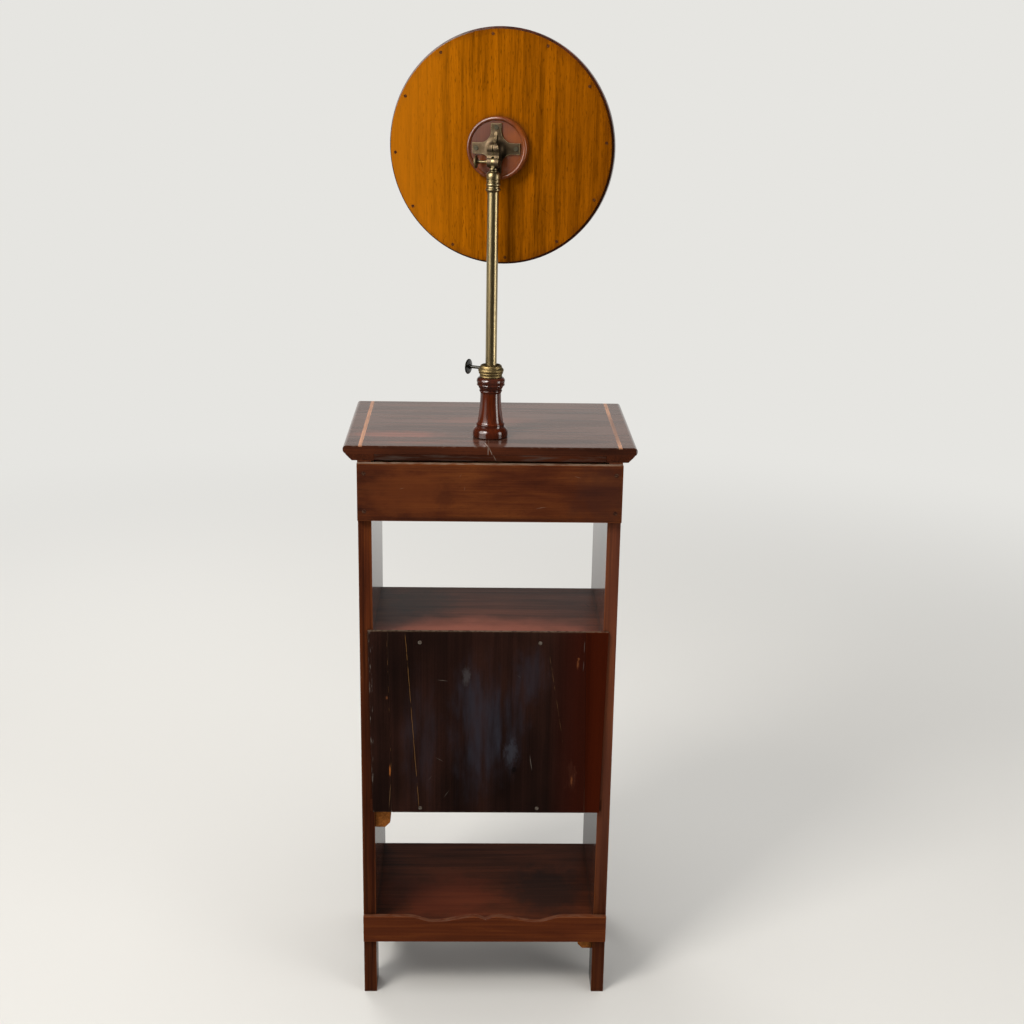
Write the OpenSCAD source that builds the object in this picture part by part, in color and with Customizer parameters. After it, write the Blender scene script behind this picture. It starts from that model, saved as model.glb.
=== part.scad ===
// Victorian shaving stand: a slab-sided mahogany stand with a frieze drawer, an open recess,
// a cupboard and a low shelf, and a round mirror on a brass pole that slides, turns and tilts.
// Millimetres, +Z up, front towards -Y, origin on the floor under the middle of the whole stand.

/* [Carcass] */
// Outside width over the two side boards
carcass_w = 350; // [320:5:420]
// Depth of a side board from its front edge to its rear edge
side_d = 228; // [215:1:280]
// Thickness of a side board
side_t = 18; // [15:1:24]
// Thickness of the cupboard top, the cupboard bottom and the lower shelf
shelf_t = 18; // [15:1:22]
// Depth of the housings in the sides that hold the boards
housing_d = 6; // [4:1:8]
// Height of the lower shelf's underside above the floor
shelf_height = 98; // [90:1:130]
// Clear height of the open bay above the lower shelf
bay_h = 179; // [150:1:220]
// Clear height inside the cupboard
cupboard_h = 224; // [200:1:280]
// Clear height of the open recess above the cupboard
recess_h = 171; // [130:1:200]
// Clear height of the drawer space
drawer_space_h = 56; // [50:1:90]
// Thickness of the dust board under the drawer
dust_board_t = 12; // [10:1:16]
// Thickness of the rail above the drawer
front_rail_t = 12; // [10:1:16]
// Width of the rail above the drawer, front to back
front_rail_d = 60; // [40:1:80]

/* [Feet] */
// Length of each foot along the depth of the side board
foot_d = 42; // [36:1:60]
// Height of the opening between a side's two feet
foot_h = 80; // [60:1:86]
// Corner radius of the opening between the feet
foot_r = 22; // [10:1:35]

/* [Top] */
// How far the top stands out past each side
top_over_side = 19; // [15:1:28]
// How far the top stands out past the front
top_over_front = 38; // [30:1:50]
// Thickness of the top board, with its rounded nose
top_t = 11; // [9:0.5:16]
// Corner radius of the top's front corners, seen from above
top_corner_r = 7; // [3:1:14]
// Corner radius of the top's rear corners, seen from above
top_rear_r = 3; // [1:0.5:6]
// Height of the bevelled moulding under the top
moulding_h = 9; // [7:0.5:12]
// Width of the bevelled moulding
moulding_w = 38; // [34:1:45]
// How far the moulding's upper arris is set back under the nose
moulding_back = 3; // [1:0.5:5]
// How far the rear strip between the mouldings is set in
strip_back = 0.5; // [0:0.5:5]
// Width of the rear strip
strip_w = 18; // [12:1:20]
// Width of an inlaid string
string_w = 5; // [3:0.5:8]
// Depth of an inlaid string
string_depth = 1.5; // [1:0.1:3]
// Middle of a string from the end of the top
string_inset = 23; // [18:1:32]

/* [Back] */
// Thickness of the frieze's back rail, planted behind the sides
back_rail_t = 10; // [8:1:14]
// Gap between the back rail's upper edge and the underside of the top
back_rail_gap = 2; // [1:0.5:6]
// Thickness of the cupboard's back boards
back_board_t = 5; // [4:0.5:8]
// How far the back boards lap onto each side at their upper end
back_lap_top = 7; // [4:0.5:10]
// How far the back boards lap onto each side at their lower end
back_lap_foot = 2.5; // [2:0.5:6]
// How far the back boards stand above the cupboard top
back_rise = 13; // [4:1:20]
// Width of the narrow back board on the +X side
narrow_board_w = 27; // [20:1:60]
// Width of the back plank on the -X side at its upper end
plank_w = 31; // [20:1:60]
// Width of the back plank at its lower end
plank_foot_w = 21; // [14:1:60]
// Thickness of the rear gallery
gallery_t = 8; // [6:0.5:12]
// Height of the gallery above the lower shelf
gallery_rise = 13; // [10:1:30]
// How far the gallery hangs below the lower shelf
gallery_drop = 10; // [2:1:14]
// Depth of the dips in the gallery's upper edge
gallery_dip = 8; // [4:0.5:9]
// Distance of the bottom of each dip from the middle
gallery_dip_x = 74; // [60:1:90]
// Distance of each end flat from the middle
gallery_flat_x = 112; // [100:1:130]
// Distance of each peak from the middle
gallery_peak_x = 14; // [8:1:24]
// Depth of the notch between the two peaks
gallery_notch = 5; // [2:0.5:8]
// Width of a glue block
block_w = 21; // [14:1:28]
// Height of a glue block
block_h = 31; // [14:1:36]
// Length of a glue block
block_l = 32; // [20:1:80]
// Chamfer on a glue block's free corner
block_chamfer = 7; // [3:1:10]
// Distance of a glue block from the rear edge of the side
block_in = 9; // [2:1:30]

/* [Nails] */
// Radius of a nail head in the back boards and the back rail
nail_head_r = 2.6; // [1.5:0.1:3.5]
// Radius of a nail's shank
nail_r = 1; // [0.7:0.1:1.3]
// Length of a nail in the wood
nail_l = 14; // [12:1:18]
// How far a nail head stands out
nail_out = 0.6; // [0.3:0.1:1]
// Distance of the back rail's nails from its upper and lower edges
rail_nail_in = 13; // [8:1:20]
// Distance of the back boards' upper nails below the cupboard top's upper face
board_nail_down = 3; // [3:0.5:9]
// Distance of the back boards' lower nails above the boards' lower edge
board_nail_up = 7; // [4:0.5:10]
// Distance of the +X nails of the back boards from the middle
board_nail_left = 93; // [80:1:120]
// Distance of the -X nails of the back boards from the middle
board_nail_right = 71; // [60:1:110]

/* [Drawer] */
// Thickness of the drawer front
drawer_front_t = 18; // [16:1:22]
// Space behind the shut drawer box, up to the block that holds the pole's socket
drawer_behind = 5; // [2:1:40]
// Thickness of the drawer sides and back
drawer_side_t = 8; // [6:0.5:10]
// Thickness of the drawer bottom
drawer_bottom_t = 5; // [4:0.5:6]
// Height of the drawer bottom's underside above the drawer's lower edge
drawer_bottom_up = 6; // [5.5:0.5:9]
// Gap round the drawer front
drawer_gap = 1; // [0.5:0.1:2]
// Length of the dovetails let into the drawer front
tail_l = 12; // [9:0.5:13]
// Width of a dovetail at its wide end
tail_w = 13; // [9:0.5:14]
// How much narrower a dovetail is at its root
tail_taper = 3.5; // [2:0.5:5]
// Radius of a drawer knob's head
knob_r = 9.5; // [7:0.5:12]
// How far a drawer knob stands out
knob_out = 22; // [18:0.5:28]
// Distance of each drawer knob from the middle
knob_x = 84; // [50:1:110]
// Radius of a knob's shank in the wood
knob_shank_r = 2.5; // [2:0.1:3]
// Length of a knob's shank in the wood
knob_shank_l = 12; // [9:0.5:16]
// Width of a drawer stop
stop_w = 22; // [14:1:30]
// Length of a drawer stop, front to back
stop_l = 18; // [12:1:30]

/* [Door] */
// Thickness of the door
door_t = 20; // [18:0.5:24]
// Width of the door's stiles and rails
door_frame_w = 42; // [34:1:55]
// Thickness of the door panel at its edge
panel_edge_t = 5; // [4:0.5:7]
// Thickness of the door panel in its field
panel_t = 10; // [9:0.5:12]
// Width of the bevel round the panel's field
panel_bevel = 24; // [15:1:30]
// Depth of the panel grooves
groove_d = 8; // [6:1:10]
// Length of the tenons on the door rails
tenon_l = 26; // [18:1:32]
// Thickness of the tenons
tenon_t = 6; // [5:0.5:8]
// Gap between the door and each side
door_gap = 1.5; // [1.3:0.1:2.5]
// How much of each board's front edge the door leaves bare
door_reveal = 8; // [4:1:12]
// Thickness of a hinge leaf
leaf_t = 0.65; // [0.5:0.05:0.65]
// Width of a hinge leaf behind the door's face
leaf_w = 14; // [10:0.5:16]
// Length of a hinge
hinge_l = 40; // [30:1:55]
// Radius of a hinge knuckle
knuckle_r = 2.4; // [2:0.1:3]
// Radius of a hinge pin
hinge_pin_r = 1.1; // [0.8:0.1:1.4]
// Distance of each hinge's middle from the end of the door
hinge_in = 45; // [35:1:70]
// Radius of the ball catch's barrel
catch_r = 3.2; // [2.5:0.1:4]
// Length of the ball catch's barrel
catch_l = 12; // [8:0.5:16]
// Width of the catch plate
catch_plate_w = 14; // [10:0.5:18]
// Height of the catch plate
catch_plate_h = 24; // [16:1:32]

/* [Pillar] */
// Distance of the pole from the rear edges of the sides
pole_in = 58; // [42:1:64]
// Radius of the pillar's base
pillar_base_r = 23.5; // [21:0.5:28]
// Radius of the pillar's shaft at its narrowest
pillar_neck_r = 13.8; // [13:0.1:16]
// Radius of the pillar's bulb
pillar_bulb_r = 19; // [17:0.5:22]
// Height of the straight face round the pillar's base
base_face_h = 6; // [4:0.5:10]
// Radius of the rounded shoulder above that face
base_round = 9; // [6:0.5:10]
// Radius of the pillar's small beads
bead_r = 1.5; // [1:0.1:2]
// Height of the pillar's crown, above its ring
crown_h = 17; // [15:0.5:24]
// Radius of the crown's rounded upper edge
crown_round = 5.1; // [4:0.1:6]
// Height of the wooden pillar
pillar_h = 81.5; // [75:0.5:110]
// Radius of the pillar's spigot in the top board
spigot_r = 12.5; // [11.5:0.5:14]
// Width of the block under the top that holds the pole's socket
well_w = 34; // [30:1:40]
// Radius of the collar's flange
collar_r = 17; // [16:0.5:20]
// Height of the collar
collar_h = 16; // [15:0.5:22]
// Radius of the collar's sleeve in the pillar
sleeve_r = 10.4; // [9.6:0.1:11]
// Length of the collar's sleeve
sleeve_l = 14; // [8:0.5:20]

/* [Pole] */
// Radius of the pole
pole_r = 7.5; // [6.5:0.1:8]
// Wall thickness of the pole
pole_wall = 1.5; // [1:0.1:2.5]
// Visible length of the pole, as drawn
pole_up = 225.5; // [190:0.5:260]
// Length of the pole inside the collar and the pillar, as drawn
pole_held = 76; // [60:1:80]
// Thickness of the foot that closes the pole
pole_foot_h = 8; // [5:0.5:12]
// Length of the foot's spigot inside the pole
foot_spigot_l = 14; // [8:1:24]
// Height of the ferrule on the pole
ferrule_h = 27; // [26:1:40]
// Radius of the ferrule's widest ring
ferrule_r = 10; // [8.9:0.1:11]
// Depth of the ferrule's socket over the pole
ferrule_socket = 12; // [8:0.5:14]
// Angle of the mirror about the pole, as drawn
mirror_turn = -15; // [-40:1:40]

/* [Thumbscrews] */
// Radius of the collar screw's stem
collar_screw_r = 2.1; // [1.6:0.1:2.6]
// Radius of the collar screw's disc
collar_disc_r = 10.2; // [7:0.2:12]
// Distance of the collar screw's disc from the pole's middle
collar_disc_x = 33; // [28:1:45]
// Direction of the collar screw, seen from above
collar_screw_turn = -25; // [-60:5:60]
// Half thickness of a thumbscrew's disc at its edge
disc_edge = 1.1; // [0.8:0.1:1.5]
// Radius of the tilt screw's stem
tilt_screw_r = 2; // [1.5:0.1:2.5]
// Radius of the tilt screw's disc
tilt_disc_r = 8.5; // [6:0.5:9]
// Distance of the tilt screw's disc from the pole's middle
tilt_disc_x = 23; // [18:1:30]

/* [Tilt joint] */
// Radius of the bracket's cheeks about the tilt axis
fork_r = 6.6; // [6:0.2:7.6]
// Width over the bracket's two cheeks
fork_w = 15; // [11:0.5:16]
// Thickness of the tongue between the cheeks
tongue_t = 4; // [3:0.2:5]
// Height of the tilt axis above the ferrule
tilt_up = 10.5; // [9.5:0.5:14]
// Distance from the tilt axis forward to the bracket plate
plate_y = 12; // [11:0.5:16]
// Height of the bracket's middle above the tilt axis
bracket_up = 16.5; // [14:0.5:20]
// Thickness of the bracket plate
plate_t = 3; // [2:0.5:4]
// Length of a bracket arm from the middle to its tip
arm_l = 31.4; // [28:0.2:33]
// Width of a bracket arm
arm_w = 13.5; // [10:0.5:16]
// Radius of the hollow between two arms
arm_fillet = 15; // [8:0.5:16]
// Radius of the swelling in the middle of the bracket, at its foot
boss_r = 15.5; // [10:0.5:15.5]
// Height of that swelling
boss_h = 9; // [6:0.5:9.5]
// Radius of the cheeks' rounded upper ends
lobe_r = 7; // [5:0.5:8]
// How far the cheeks stand above the bracket's middle
cheek_rise = 8; // [6:0.5:12]
// Width of the seam between the cheeks above the tongue
seam_w = 1.2; // [0.6:0.1:2]
// How far the ridge on the upper arm reaches from the bracket's middle
ridge_reach = 21; // [16:0.5:22]
// Width of that ridge
ridge_w = 3; // [2:0.5:5]
// Radius of a bracket screw's head
screw_head_r = 2.9; // [2.2:0.1:3.4]
// Radius of a bracket screw's shank
screw_r = 1.6; // [1.2:0.1:2]
// Distance of a bracket screw from the tip of its arm
screw_in = 5; // [4:0.2:7]
// Height of a bracket screw's head
screw_head_h = 0.9; // [0.6:0.1:1.4]
// Wood left under the tip of a bracket screw
screw_left = 4; // [3:0.5:8]

/* [Mirror] */
// Radius of the turned roundel behind the mirror
roundel_r = 40; // [37:0.5:48]
// Thickness of the roundel under the bracket plate
roundel_t = 14; // [10:0.5:18]
// Width of the roundel's raised rim
roundel_rim = 5.5; // [4:0.5:6]
// Radius of the mirror's back board
mirror_back_r = 147; // [135:1:150]
// Thickness of the mirror's back board
mirror_back_t = 6; // [4:0.5:8]
// How far the frame stands out past the back board
frame_over = 3; // [1:0.5:6]
// Width of the frame, seen from the front
frame_w = 14; // [12:0.5:20]
// Width of the rebate that holds the glass
rebate_w = 4; // [3:0.5:6]
// Thickness of the glass
glass_t = 4; // [3:0.5:5]
// Thickness of the glass at its bevelled edge
glass_edge_t = 2; // [1.5:0.1:2.5]
// Width of the bevel round the glass
glass_bevel = 14; // [8:1:24]
// Number of nails round the back board
back_nails = 12; // [8:1:20]
// Distance of those nails from the back board's edge
back_nail_in = 6; // [4:0.5:6]
// Angle of the first of those nails
back_nail_start = 4; // [0:1:30]
// Radius of those nails' heads
back_nail_head_r = 1.9; // [1.2:0.1:2.4]
// Radius of those nails' shanks
back_nail_r = 0.8; // [0.6:0.05:0.8]
// How far those nails' heads stand out
back_nail_out = 0.4; // [0.2:0.1:0.8]
// How deep those nails go into the frame
back_nail_deep = 5; // [3:0.5:6]

/* [Clearances] */
// Radial clearance of a turning or sliding fit
fit_clear = 0.08; // [0.04:0.01:0.1]
// Radial clearance of the pole's foot in the socket
socket_clear = 0.1; // [0.05:0.01:0.1]
// How much wider than the pole its foot and the socket are, at each side
socket_wall = 1; // [0.6:0.1:1.5]
// Gap under and behind pieces that slide or swing
slide_gap = 0.3; // [0.2:0.05:0.5]
// Clearance round fixed shanks and spigots
fixed_clear = 0.05; // [0.02:0.01:0.1]

/* [Hidden] */
$fn = 64;

// Heights of the boards
z_shelf = shelf_height + shelf_t;
z_cupboard = z_shelf + bay_h;
z_floor = z_cupboard + shelf_t;
z_ceiling = z_floor + cupboard_h;
z_recess = z_ceiling + shelf_t;
z_frieze = z_recess + recess_h;
z_drawer = z_frieze + dust_board_t;
z_rail = z_drawer + drawer_space_h;
z_under = z_rail + front_rail_t;
z_board = z_under + moulding_h;
z_top = z_board + top_t;

// Widths and depths of the carcass
half_w = carcass_w / 2;
inner = half_w - side_t;
y_rear = (side_d + top_over_front + back_rail_t + nail_out) / 2 - back_rail_t - nail_out;
y_front = y_rear - side_d;
y_door_back = y_front + door_t;
y_boards = y_door_back + slide_gap;
top_half = half_w + top_over_side;
top_front = y_front - top_over_front;

// Pole, collar and mirror heights
y_pole = y_rear - pole_in;
z_pillar = z_top + pillar_h;
z_collar = z_pillar + collar_h;
z_collar_screw = z_collar - collar_h / 3;
z_ferrule = z_collar + pole_up;
z_neck = z_ferrule + ferrule_h;
z_tilt = z_neck + tilt_up;
z_bracket = z_tilt + bracket_up;
socket_r = pole_r + socket_wall;
pole_low = z_collar - pole_held;
y_roundel = -plate_y - plate_t;
y_back = y_roundel - roundel_t;
y_frame = y_back - mirror_back_t;
neck_r = 0.52 * ferrule_r;
frame_r = mirror_back_r + frame_over;
sight_r = frame_r - frame_w;
cheek_x = tongue_t / 2 + fit_clear;

// Drawer sizes
drawer_half = inner - drawer_gap;
box_half = drawer_half - drawer_gap / 2;
drawer_low = z_drawer + slide_gap;
drawer_high = z_rail - drawer_gap;
box_high = drawer_high - drawer_gap;
y_box = y_front + drawer_front_t;
y_box_end = y_pole - well_w / 2 - drawer_behind;
z_bottom = drawer_low + drawer_bottom_up;
tail_count = 3;
knob_height = (drawer_low + drawer_high) / 2;

// Door sizes
door_half = inner - door_gap;
door_low = z_cupboard + door_reveal;
door_high = z_recess - door_reveal;
hinge_x = -inner + door_gap / 2;
hinge_y = y_front - knuckle_r - slide_gap;
hinge_z = [door_low + hinge_in, door_high - hinge_in];
knuckles = 5;
knuckle_gap = 0.3;
knuckle_h = (hinge_l - knuckle_gap * (knuckles - 1)) / knuckles;
catch_z = (door_low + door_high) / 2;
catch_y = y_front + door_t / 2;
catch_out = 1;
knob_z = catch_z + 30;

mahogany = [0.36, 0.15, 0.09];
dark_mahogany = [0.28, 0.11, 0.07];
oak = [0.56, 0.4, 0.24];
back_pine = [0.16, 0.09, 0.07];
satinwood = [0.8, 0.55, 0.3];
raw_wood = [0.75, 0.45, 0.2];
golden_mahogany = [0.7, 0.42, 0.1];
brass = [0.62, 0.52, 0.3];
dark_brass = [0.2, 0.18, 0.13];
iron = [0.4, 0.38, 0.36];
silvered = [0.85, 0.88, 0.9];

// A block between two corners
module block(low, high) {
    translate(low) cube(high - low);
}

// Arc points, used by the turned profiles
function arc(cx, cy, r, a0, a1, n = 10) =
    [for (i = [0:n]) [cx + r * cos(a0 + (a1 - a0) * i / n), cy + r * sin(a0 + (a1 - a0) * i / n)]];

// A smooth step from 0 to 1
function ease(t) = (1 - cos(180 * t)) / 2;

// A profile drawn in Y and Z, run along X
module along_x(x0, x1) {
    translate([x0, 0, 0]) rotate([90, 0, 90]) linear_extrude(x1 - x0) children();
}

// A profile drawn in X and Z, run along Y
module along_y(y0, y1) {
    translate([0, y1, 0]) rotate([90, 0, 0]) linear_extrude(y1 - y0) children();
}

// The frame of the pole and mirror, turned about the pole
module at_pole() {
    translate([0, y_pole, 0]) rotate([0, 0, mirror_turn]) children();
}

// A turned piece whose axis points backwards from the mirror
module turned_back(y, z) {
    translate([0, y, z]) rotate([90, 0, 0]) rotate_extrude($fn = 128) children();
}

// ---------------------------------------------------------------- carcass

// The opening between the front and rear feet, drawn in Y and Z
module foot_gap() {
    gap_w = side_d - 2 * foot_d;
    translate([y_front + foot_d, -1]) {
        square([gap_w, foot_h - foot_r + 1]);
        translate([foot_r, 0]) square([gap_w - 2 * foot_r, foot_h + 1]);
        translate([foot_r, foot_h - foot_r + 1]) circle(foot_r);
        translate([gap_w - foot_r, foot_h - foot_r + 1]) circle(foot_r);
    }
}

// The boards that are housed between the sides
module shelf_board(y0, z0, t) {
    block([-inner - housing_d, y0, z0], [inner + housing_d, y_rear, z0 + t]);
}

module housed_boards() {
    shelf_board(y_front, shelf_height, shelf_t);
    shelf_board(y_boards, z_cupboard, shelf_t);
    shelf_board(y_boards, z_ceiling, shelf_t);
    shelf_board(y_front, z_frieze, dust_board_t);
    front_rail_solid();
}

module front_rail_solid() {
    block([-inner - housing_d, y_front, z_rail], [inner + housing_d, y_front + front_rail_d, z_under]);
}

module side_board(x0) {
    color(mahogany) difference() {
        along_x(x0, x0 + side_t) difference() {
            translate([y_front, 0]) square([side_d, z_under]);
            foot_gap();
        }
        housed_boards();
        back_nail_holes();
    }
}

module side_left() {
    side_board(-half_w);
}

module side_right() {
    difference() {
        side_board(inner);
        catch_plate_solid();
    }
}

module lower_shelf() {
    color(dark_mahogany) shelf_board(y_front, shelf_height, shelf_t);
}

module cupboard_bottom() {
    color(dark_mahogany) difference() {
        shelf_board(y_boards, z_cupboard, shelf_t);
        back_nail_holes();
    }
}

module cupboard_top() {
    color(dark_mahogany) difference() {
        shelf_board(y_boards, z_ceiling, shelf_t);
        back_nail_holes();
    }
}

module dust_board() {
    color(oak) shelf_board(y_front, z_frieze, dust_board_t);
}

module top_front_rail() {
    color(mahogany) front_rail_solid();
}

// ---------------------------------------------------------------- top

// The top's outline from above, with rounded corners
module top_plan(back) {
    reach = top_half - back;
    front = top_front + back;
    r = top_corner_r;
    rear = top_rear_r;
    translate([-reach, front + r]) square([2 * reach, y_rear - front - r - rear]);
    translate([-reach + r, front]) square([2 * (reach - r), r + 1]);
    translate([-reach + rear, y_rear - rear - 1]) square([2 * (reach - rear), rear + 1]);
    for (s = [-1, 1]) {
        translate([s * (reach - r), front + r]) circle(r);
        translate([s * (reach - rear), y_rear - rear]) circle(rear);
    }
}

// Section across the top, with a rounded nose at both ends
module nose_ends() {
    r = top_t / 2;
    translate([-top_half + r, z_board]) square([2 * (top_half - r), top_t]);
    for (s = [-1, 1]) translate([s * (top_half - r), z_board + r]) circle(r);
}

// Section from front to back, with a rounded nose at the front
module nose_front() {
    r = top_t / 2;
    translate([top_front + r, z_board]) square([y_rear - top_front - r, top_t]);
    translate([top_front + r, z_board + r]) circle(r);
}

module top_form() {
    intersection() {
        along_y(top_front, y_rear) nose_ends();
        along_x(-top_half, top_half) nose_front();
        translate([0, 0, z_board - 1]) linear_extrude(top_t + 2) top_plan(0);
    }
}

// The bar of wood that each string is cut from
module string_bar(s) {
    x = s * (top_half - string_inset);
    block([x - string_w / 2, top_front - 1, z_top - string_depth],
        [x + string_w / 2, y_rear + 1, z_top + 1]);
}

module top_board() {
    color(mahogany) difference() {
        top_form();
        for (s = [-1, 1]) string_bar(s);
        translate([0, y_pole, z_board - 1]) cylinder(h = top_t + 2, r = spigot_r + fixed_clear);
    }
}

module top_strings() {
    color(satinwood) for (s = [-1, 1]) intersection() {
        top_form();
        string_bar(s);
    }
}

// The bevelled moulding frame: its section across and its section from front to back
module moulding_form() {
    far = top_half - moulding_back;
    near = far - moulding_h;
    front = top_front + moulding_back;
    intersection() {
        along_y(top_front, y_rear)
            polygon([[-near, z_under], [near, z_under], [far, z_board], [-far, z_board]]);
        along_x(-top_half, top_half)
            polygon([[front + moulding_h, z_under], [y_rear, z_under], [y_rear, z_board], [front, z_board]]);
        translate([0, 0, z_under - 1]) linear_extrude(moulding_h + 2) top_plan(moulding_back);
    }
}

// The part of the frame that one piece fills, mitred at the front corners
module front_mitre() {
    far = top_half + 1;
    front = top_front - 1;
    depth = moulding_w + 1 + moulding_back;
    translate([0, 0, z_under - 1]) linear_extrude(moulding_h + 2)
        polygon([[-far, front], [far, front], [far - depth, front + depth], [-far + depth, front + depth]]);
}

module end_mitre(s) {
    far = top_half + 1;
    front = top_front - 1;
    depth = moulding_w + 1 + moulding_back;
    translate([0, 0, z_under - 1]) linear_extrude(moulding_h + 2)
        polygon([[s * far, front], [s * far, y_rear + 1], [s * (far - depth), y_rear + 1],
            [s * (far - depth), front + depth]]);
}

module top_moulding_front() {
    color(mahogany) intersection() {
        moulding_form();
        front_mitre();
    }
}

module top_moulding_left() {
    color(mahogany) intersection() {
        moulding_form();
        end_mitre(-1);
    }
}

module top_moulding_right() {
    color(mahogany) intersection() {
        moulding_form();
        end_mitre(1);
    }
}

module top_rear_strip() {
    x = top_half - moulding_back - moulding_w;
    color(dark_mahogany)
        block([-x, y_rear - strip_back - strip_w, z_under], [x, y_rear - strip_back, z_board]);
}

// ---------------------------------------------------------------- back

module frieze_back_rail() {
    color(mahogany) difference() {
        block([-half_w, y_rear, z_frieze], [half_w, y_rear + back_rail_t, z_under - back_rail_gap]);
        back_nail_holes();
    }
}

// Places of the nails, as X and Z
rail_nail_x = half_w - side_t / 2;
rail_nails = [for (s = [-1, 1], z = [z_frieze + rail_nail_in, z_under - back_rail_gap - rail_nail_in])
    [s * rail_nail_x, z]];
board_nail_z = [z_recess - board_nail_down, z_cupboard + board_nail_up];
board_nails = [for (x = [board_nail_left, -board_nail_right], z = board_nail_z) [x, z]];

// A nail driven in from behind, with a low domed head
module nail(x, face, z, clear) {
    translate([x, face, z]) rotate([90, 0, 0]) {
        cylinder(h = nail_l + clear, r = nail_r + clear);
        if (clear == 0) translate([0, 0, -nail_out]) cylinder(h = nail_out, r = nail_head_r);
    }
}

module all_back_nails(clear) {
    for (p = rail_nails) nail(p[0], y_rear + back_rail_t, p[1], clear);
    for (p = board_nails) nail(p[0], y_rear + back_board_t, p[1], clear);
}

module back_nail_holes() {
    all_back_nails(fixed_clear);
}

module back_rail_nails() {
    color(iron) for (p = rail_nails) nail(p[0], y_rear + back_rail_t, p[1], 0);
}

module back_board_nails() {
    color(iron) for (p = board_nails) nail(p[0], y_rear + back_board_t, p[1], 0);
}

back_top_x = inner + back_lap_top;
back_foot_x = inner + back_lap_foot;

// One back board between two upper and two lower corners
module back_board(top_x0, top_x1, foot_x0, foot_x1) {
    difference() {
        along_y(y_rear, y_rear + back_board_t)
            polygon([[foot_x0, z_cupboard], [foot_x1, z_cupboard],
                [top_x1, z_recess + back_rise], [top_x0, z_recess + back_rise]]);
        back_nail_holes();
    }
}

module back_board_narrow() {
    color(back_pine)
        back_board(back_top_x - narrow_board_w, back_top_x, back_foot_x - narrow_board_w, back_foot_x);
}

module back_board_wide() {
    color(back_pine)
        back_board(plank_w - back_top_x, back_top_x - narrow_board_w,
            plank_foot_w - back_foot_x, back_foot_x - narrow_board_w);
}

module back_plank() {
    color(dark_mahogany)
        back_board(-back_top_x, plank_w - back_top_x, -back_foot_x, plank_foot_w - back_foot_x);
}

// Height of the gallery's upper edge below its end flats, at a distance from the middle
function gallery_fall(x) =
    x >= gallery_flat_x ? 0 :
    x >= gallery_dip_x ? gallery_dip * ease((gallery_flat_x - x) / (gallery_flat_x - gallery_dip_x)) :
    x >= gallery_peak_x ? gallery_dip * ease((x - gallery_peak_x) / (gallery_dip_x - gallery_peak_x)) :
    gallery_notch * pow(1 - x / gallery_peak_x, 1.5);

module rear_gallery() {
    high = z_shelf + gallery_rise;
    low = shelf_height - gallery_drop;
    steps = 28;
    reach = [for (i = [-steps:steps]) gallery_flat_x * i / steps];
    color(mahogany) along_y(y_rear, y_rear + gallery_t)
        polygon(concat([[half_w, high], [half_w, low], [-half_w, low], [-half_w, high]],
            [for (x = reach) [x, high - gallery_fall(abs(x))]]));
}

// A triangular-cornered block under a board, against the inner face of a side
module glue_block(s, z) {
    y1 = y_rear - block_in;
    w = block_w;
    h = block_h;
    c = block_chamfer;
    color(raw_wood) along_y(y1 - block_l, y1)
        polygon([[s * inner, z], [s * (inner - w), z], [s * (inner - w), z - h + c],
            [s * (inner - w + c), z - h], [s * inner, z - h]]);
}

module glue_block_upper() {
    glue_block(1, z_cupboard);
}

module glue_block_lower() {
    glue_block(-1, shelf_height);
}

// ---------------------------------------------------------------- drawer

// The two small blocks that the drawer front meets when it is shut
module drawer_stops() {
    h = drawer_bottom_up - drawer_gap;
    color(oak) for (s = [-1, 1])
        block([s * knob_x - stop_w / 2, y_box + slide_gap, z_drawer],
            [s * knob_x + stop_w / 2, y_box + slide_gap + stop_l, z_drawer + h]);
}

// Side of the drawer with dovetails at both ends, drawn in Y and Z
module drawer_side_outline() {
    low = drawer_low;
    high = box_high;
    pitch = (high - low) / tail_count;
    translate([y_box, low]) square([y_box_end - y_box - drawer_side_t, high - low]);
    for (i = [0:tail_count - 1]) {
        z = low + pitch * (i + 0.5);
        w = tail_w / 2;
        n = w - tail_taper / 2;
        polygon([[y_box - tail_l, z - w], [y_box, z - n], [y_box, z + n], [y_box - tail_l, z + w]]);
        if (z - w > z_bottom + drawer_bottom_t)
            polygon([[y_box_end - drawer_side_t, z - n], [y_box_end, z - w], [y_box_end, z + w],
                [y_box_end - drawer_side_t, z + n]]);
    }
}

module drawer_side_solid(s) {
    x0 = s > 0 ? box_half - drawer_side_t : -box_half;
    along_x(x0, x0 + drawer_side_t) drawer_side_outline();
}

// The drawer bottom, let into grooves in the sides and the front
module drawer_bottom_solid() {
    reach = box_half - drawer_side_t / 2;
    block([-reach, y_box - 5, z_bottom], [reach, y_box_end, z_bottom + drawer_bottom_t]);
}

module drawer_front() {
    color(mahogany) difference() {
        block([-drawer_half, y_front, drawer_low], [drawer_half, y_box, drawer_high]);
        for (s = [-1, 1]) drawer_side_solid(s);
        drawer_bottom_solid();
        for (s = [-1, 1]) translate([s * knob_x, y_front, knob_height]) rotate([-90, 0, 0])
            translate([0, 0, -1]) cylinder(h = knob_shank_l + 1, r = knob_shank_r + fixed_clear);
    }
}

module drawer_side_left() {
    color(oak) difference() {
        drawer_side_solid(-1);
        drawer_bottom_solid();
    }
}

module drawer_side_right() {
    color(oak) difference() {
        drawer_side_solid(1);
        drawer_bottom_solid();
    }
}

module drawer_back() {
    color(oak) difference() {
        block([-box_half, y_box_end - drawer_side_t, z_bottom + drawer_bottom_t],
            [box_half, y_box_end, box_high]);
        for (s = [-1, 1]) drawer_side_solid(s);
    }
}

module drawer_bottom() {
    color(oak) drawer_bottom_solid();
}

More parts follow.
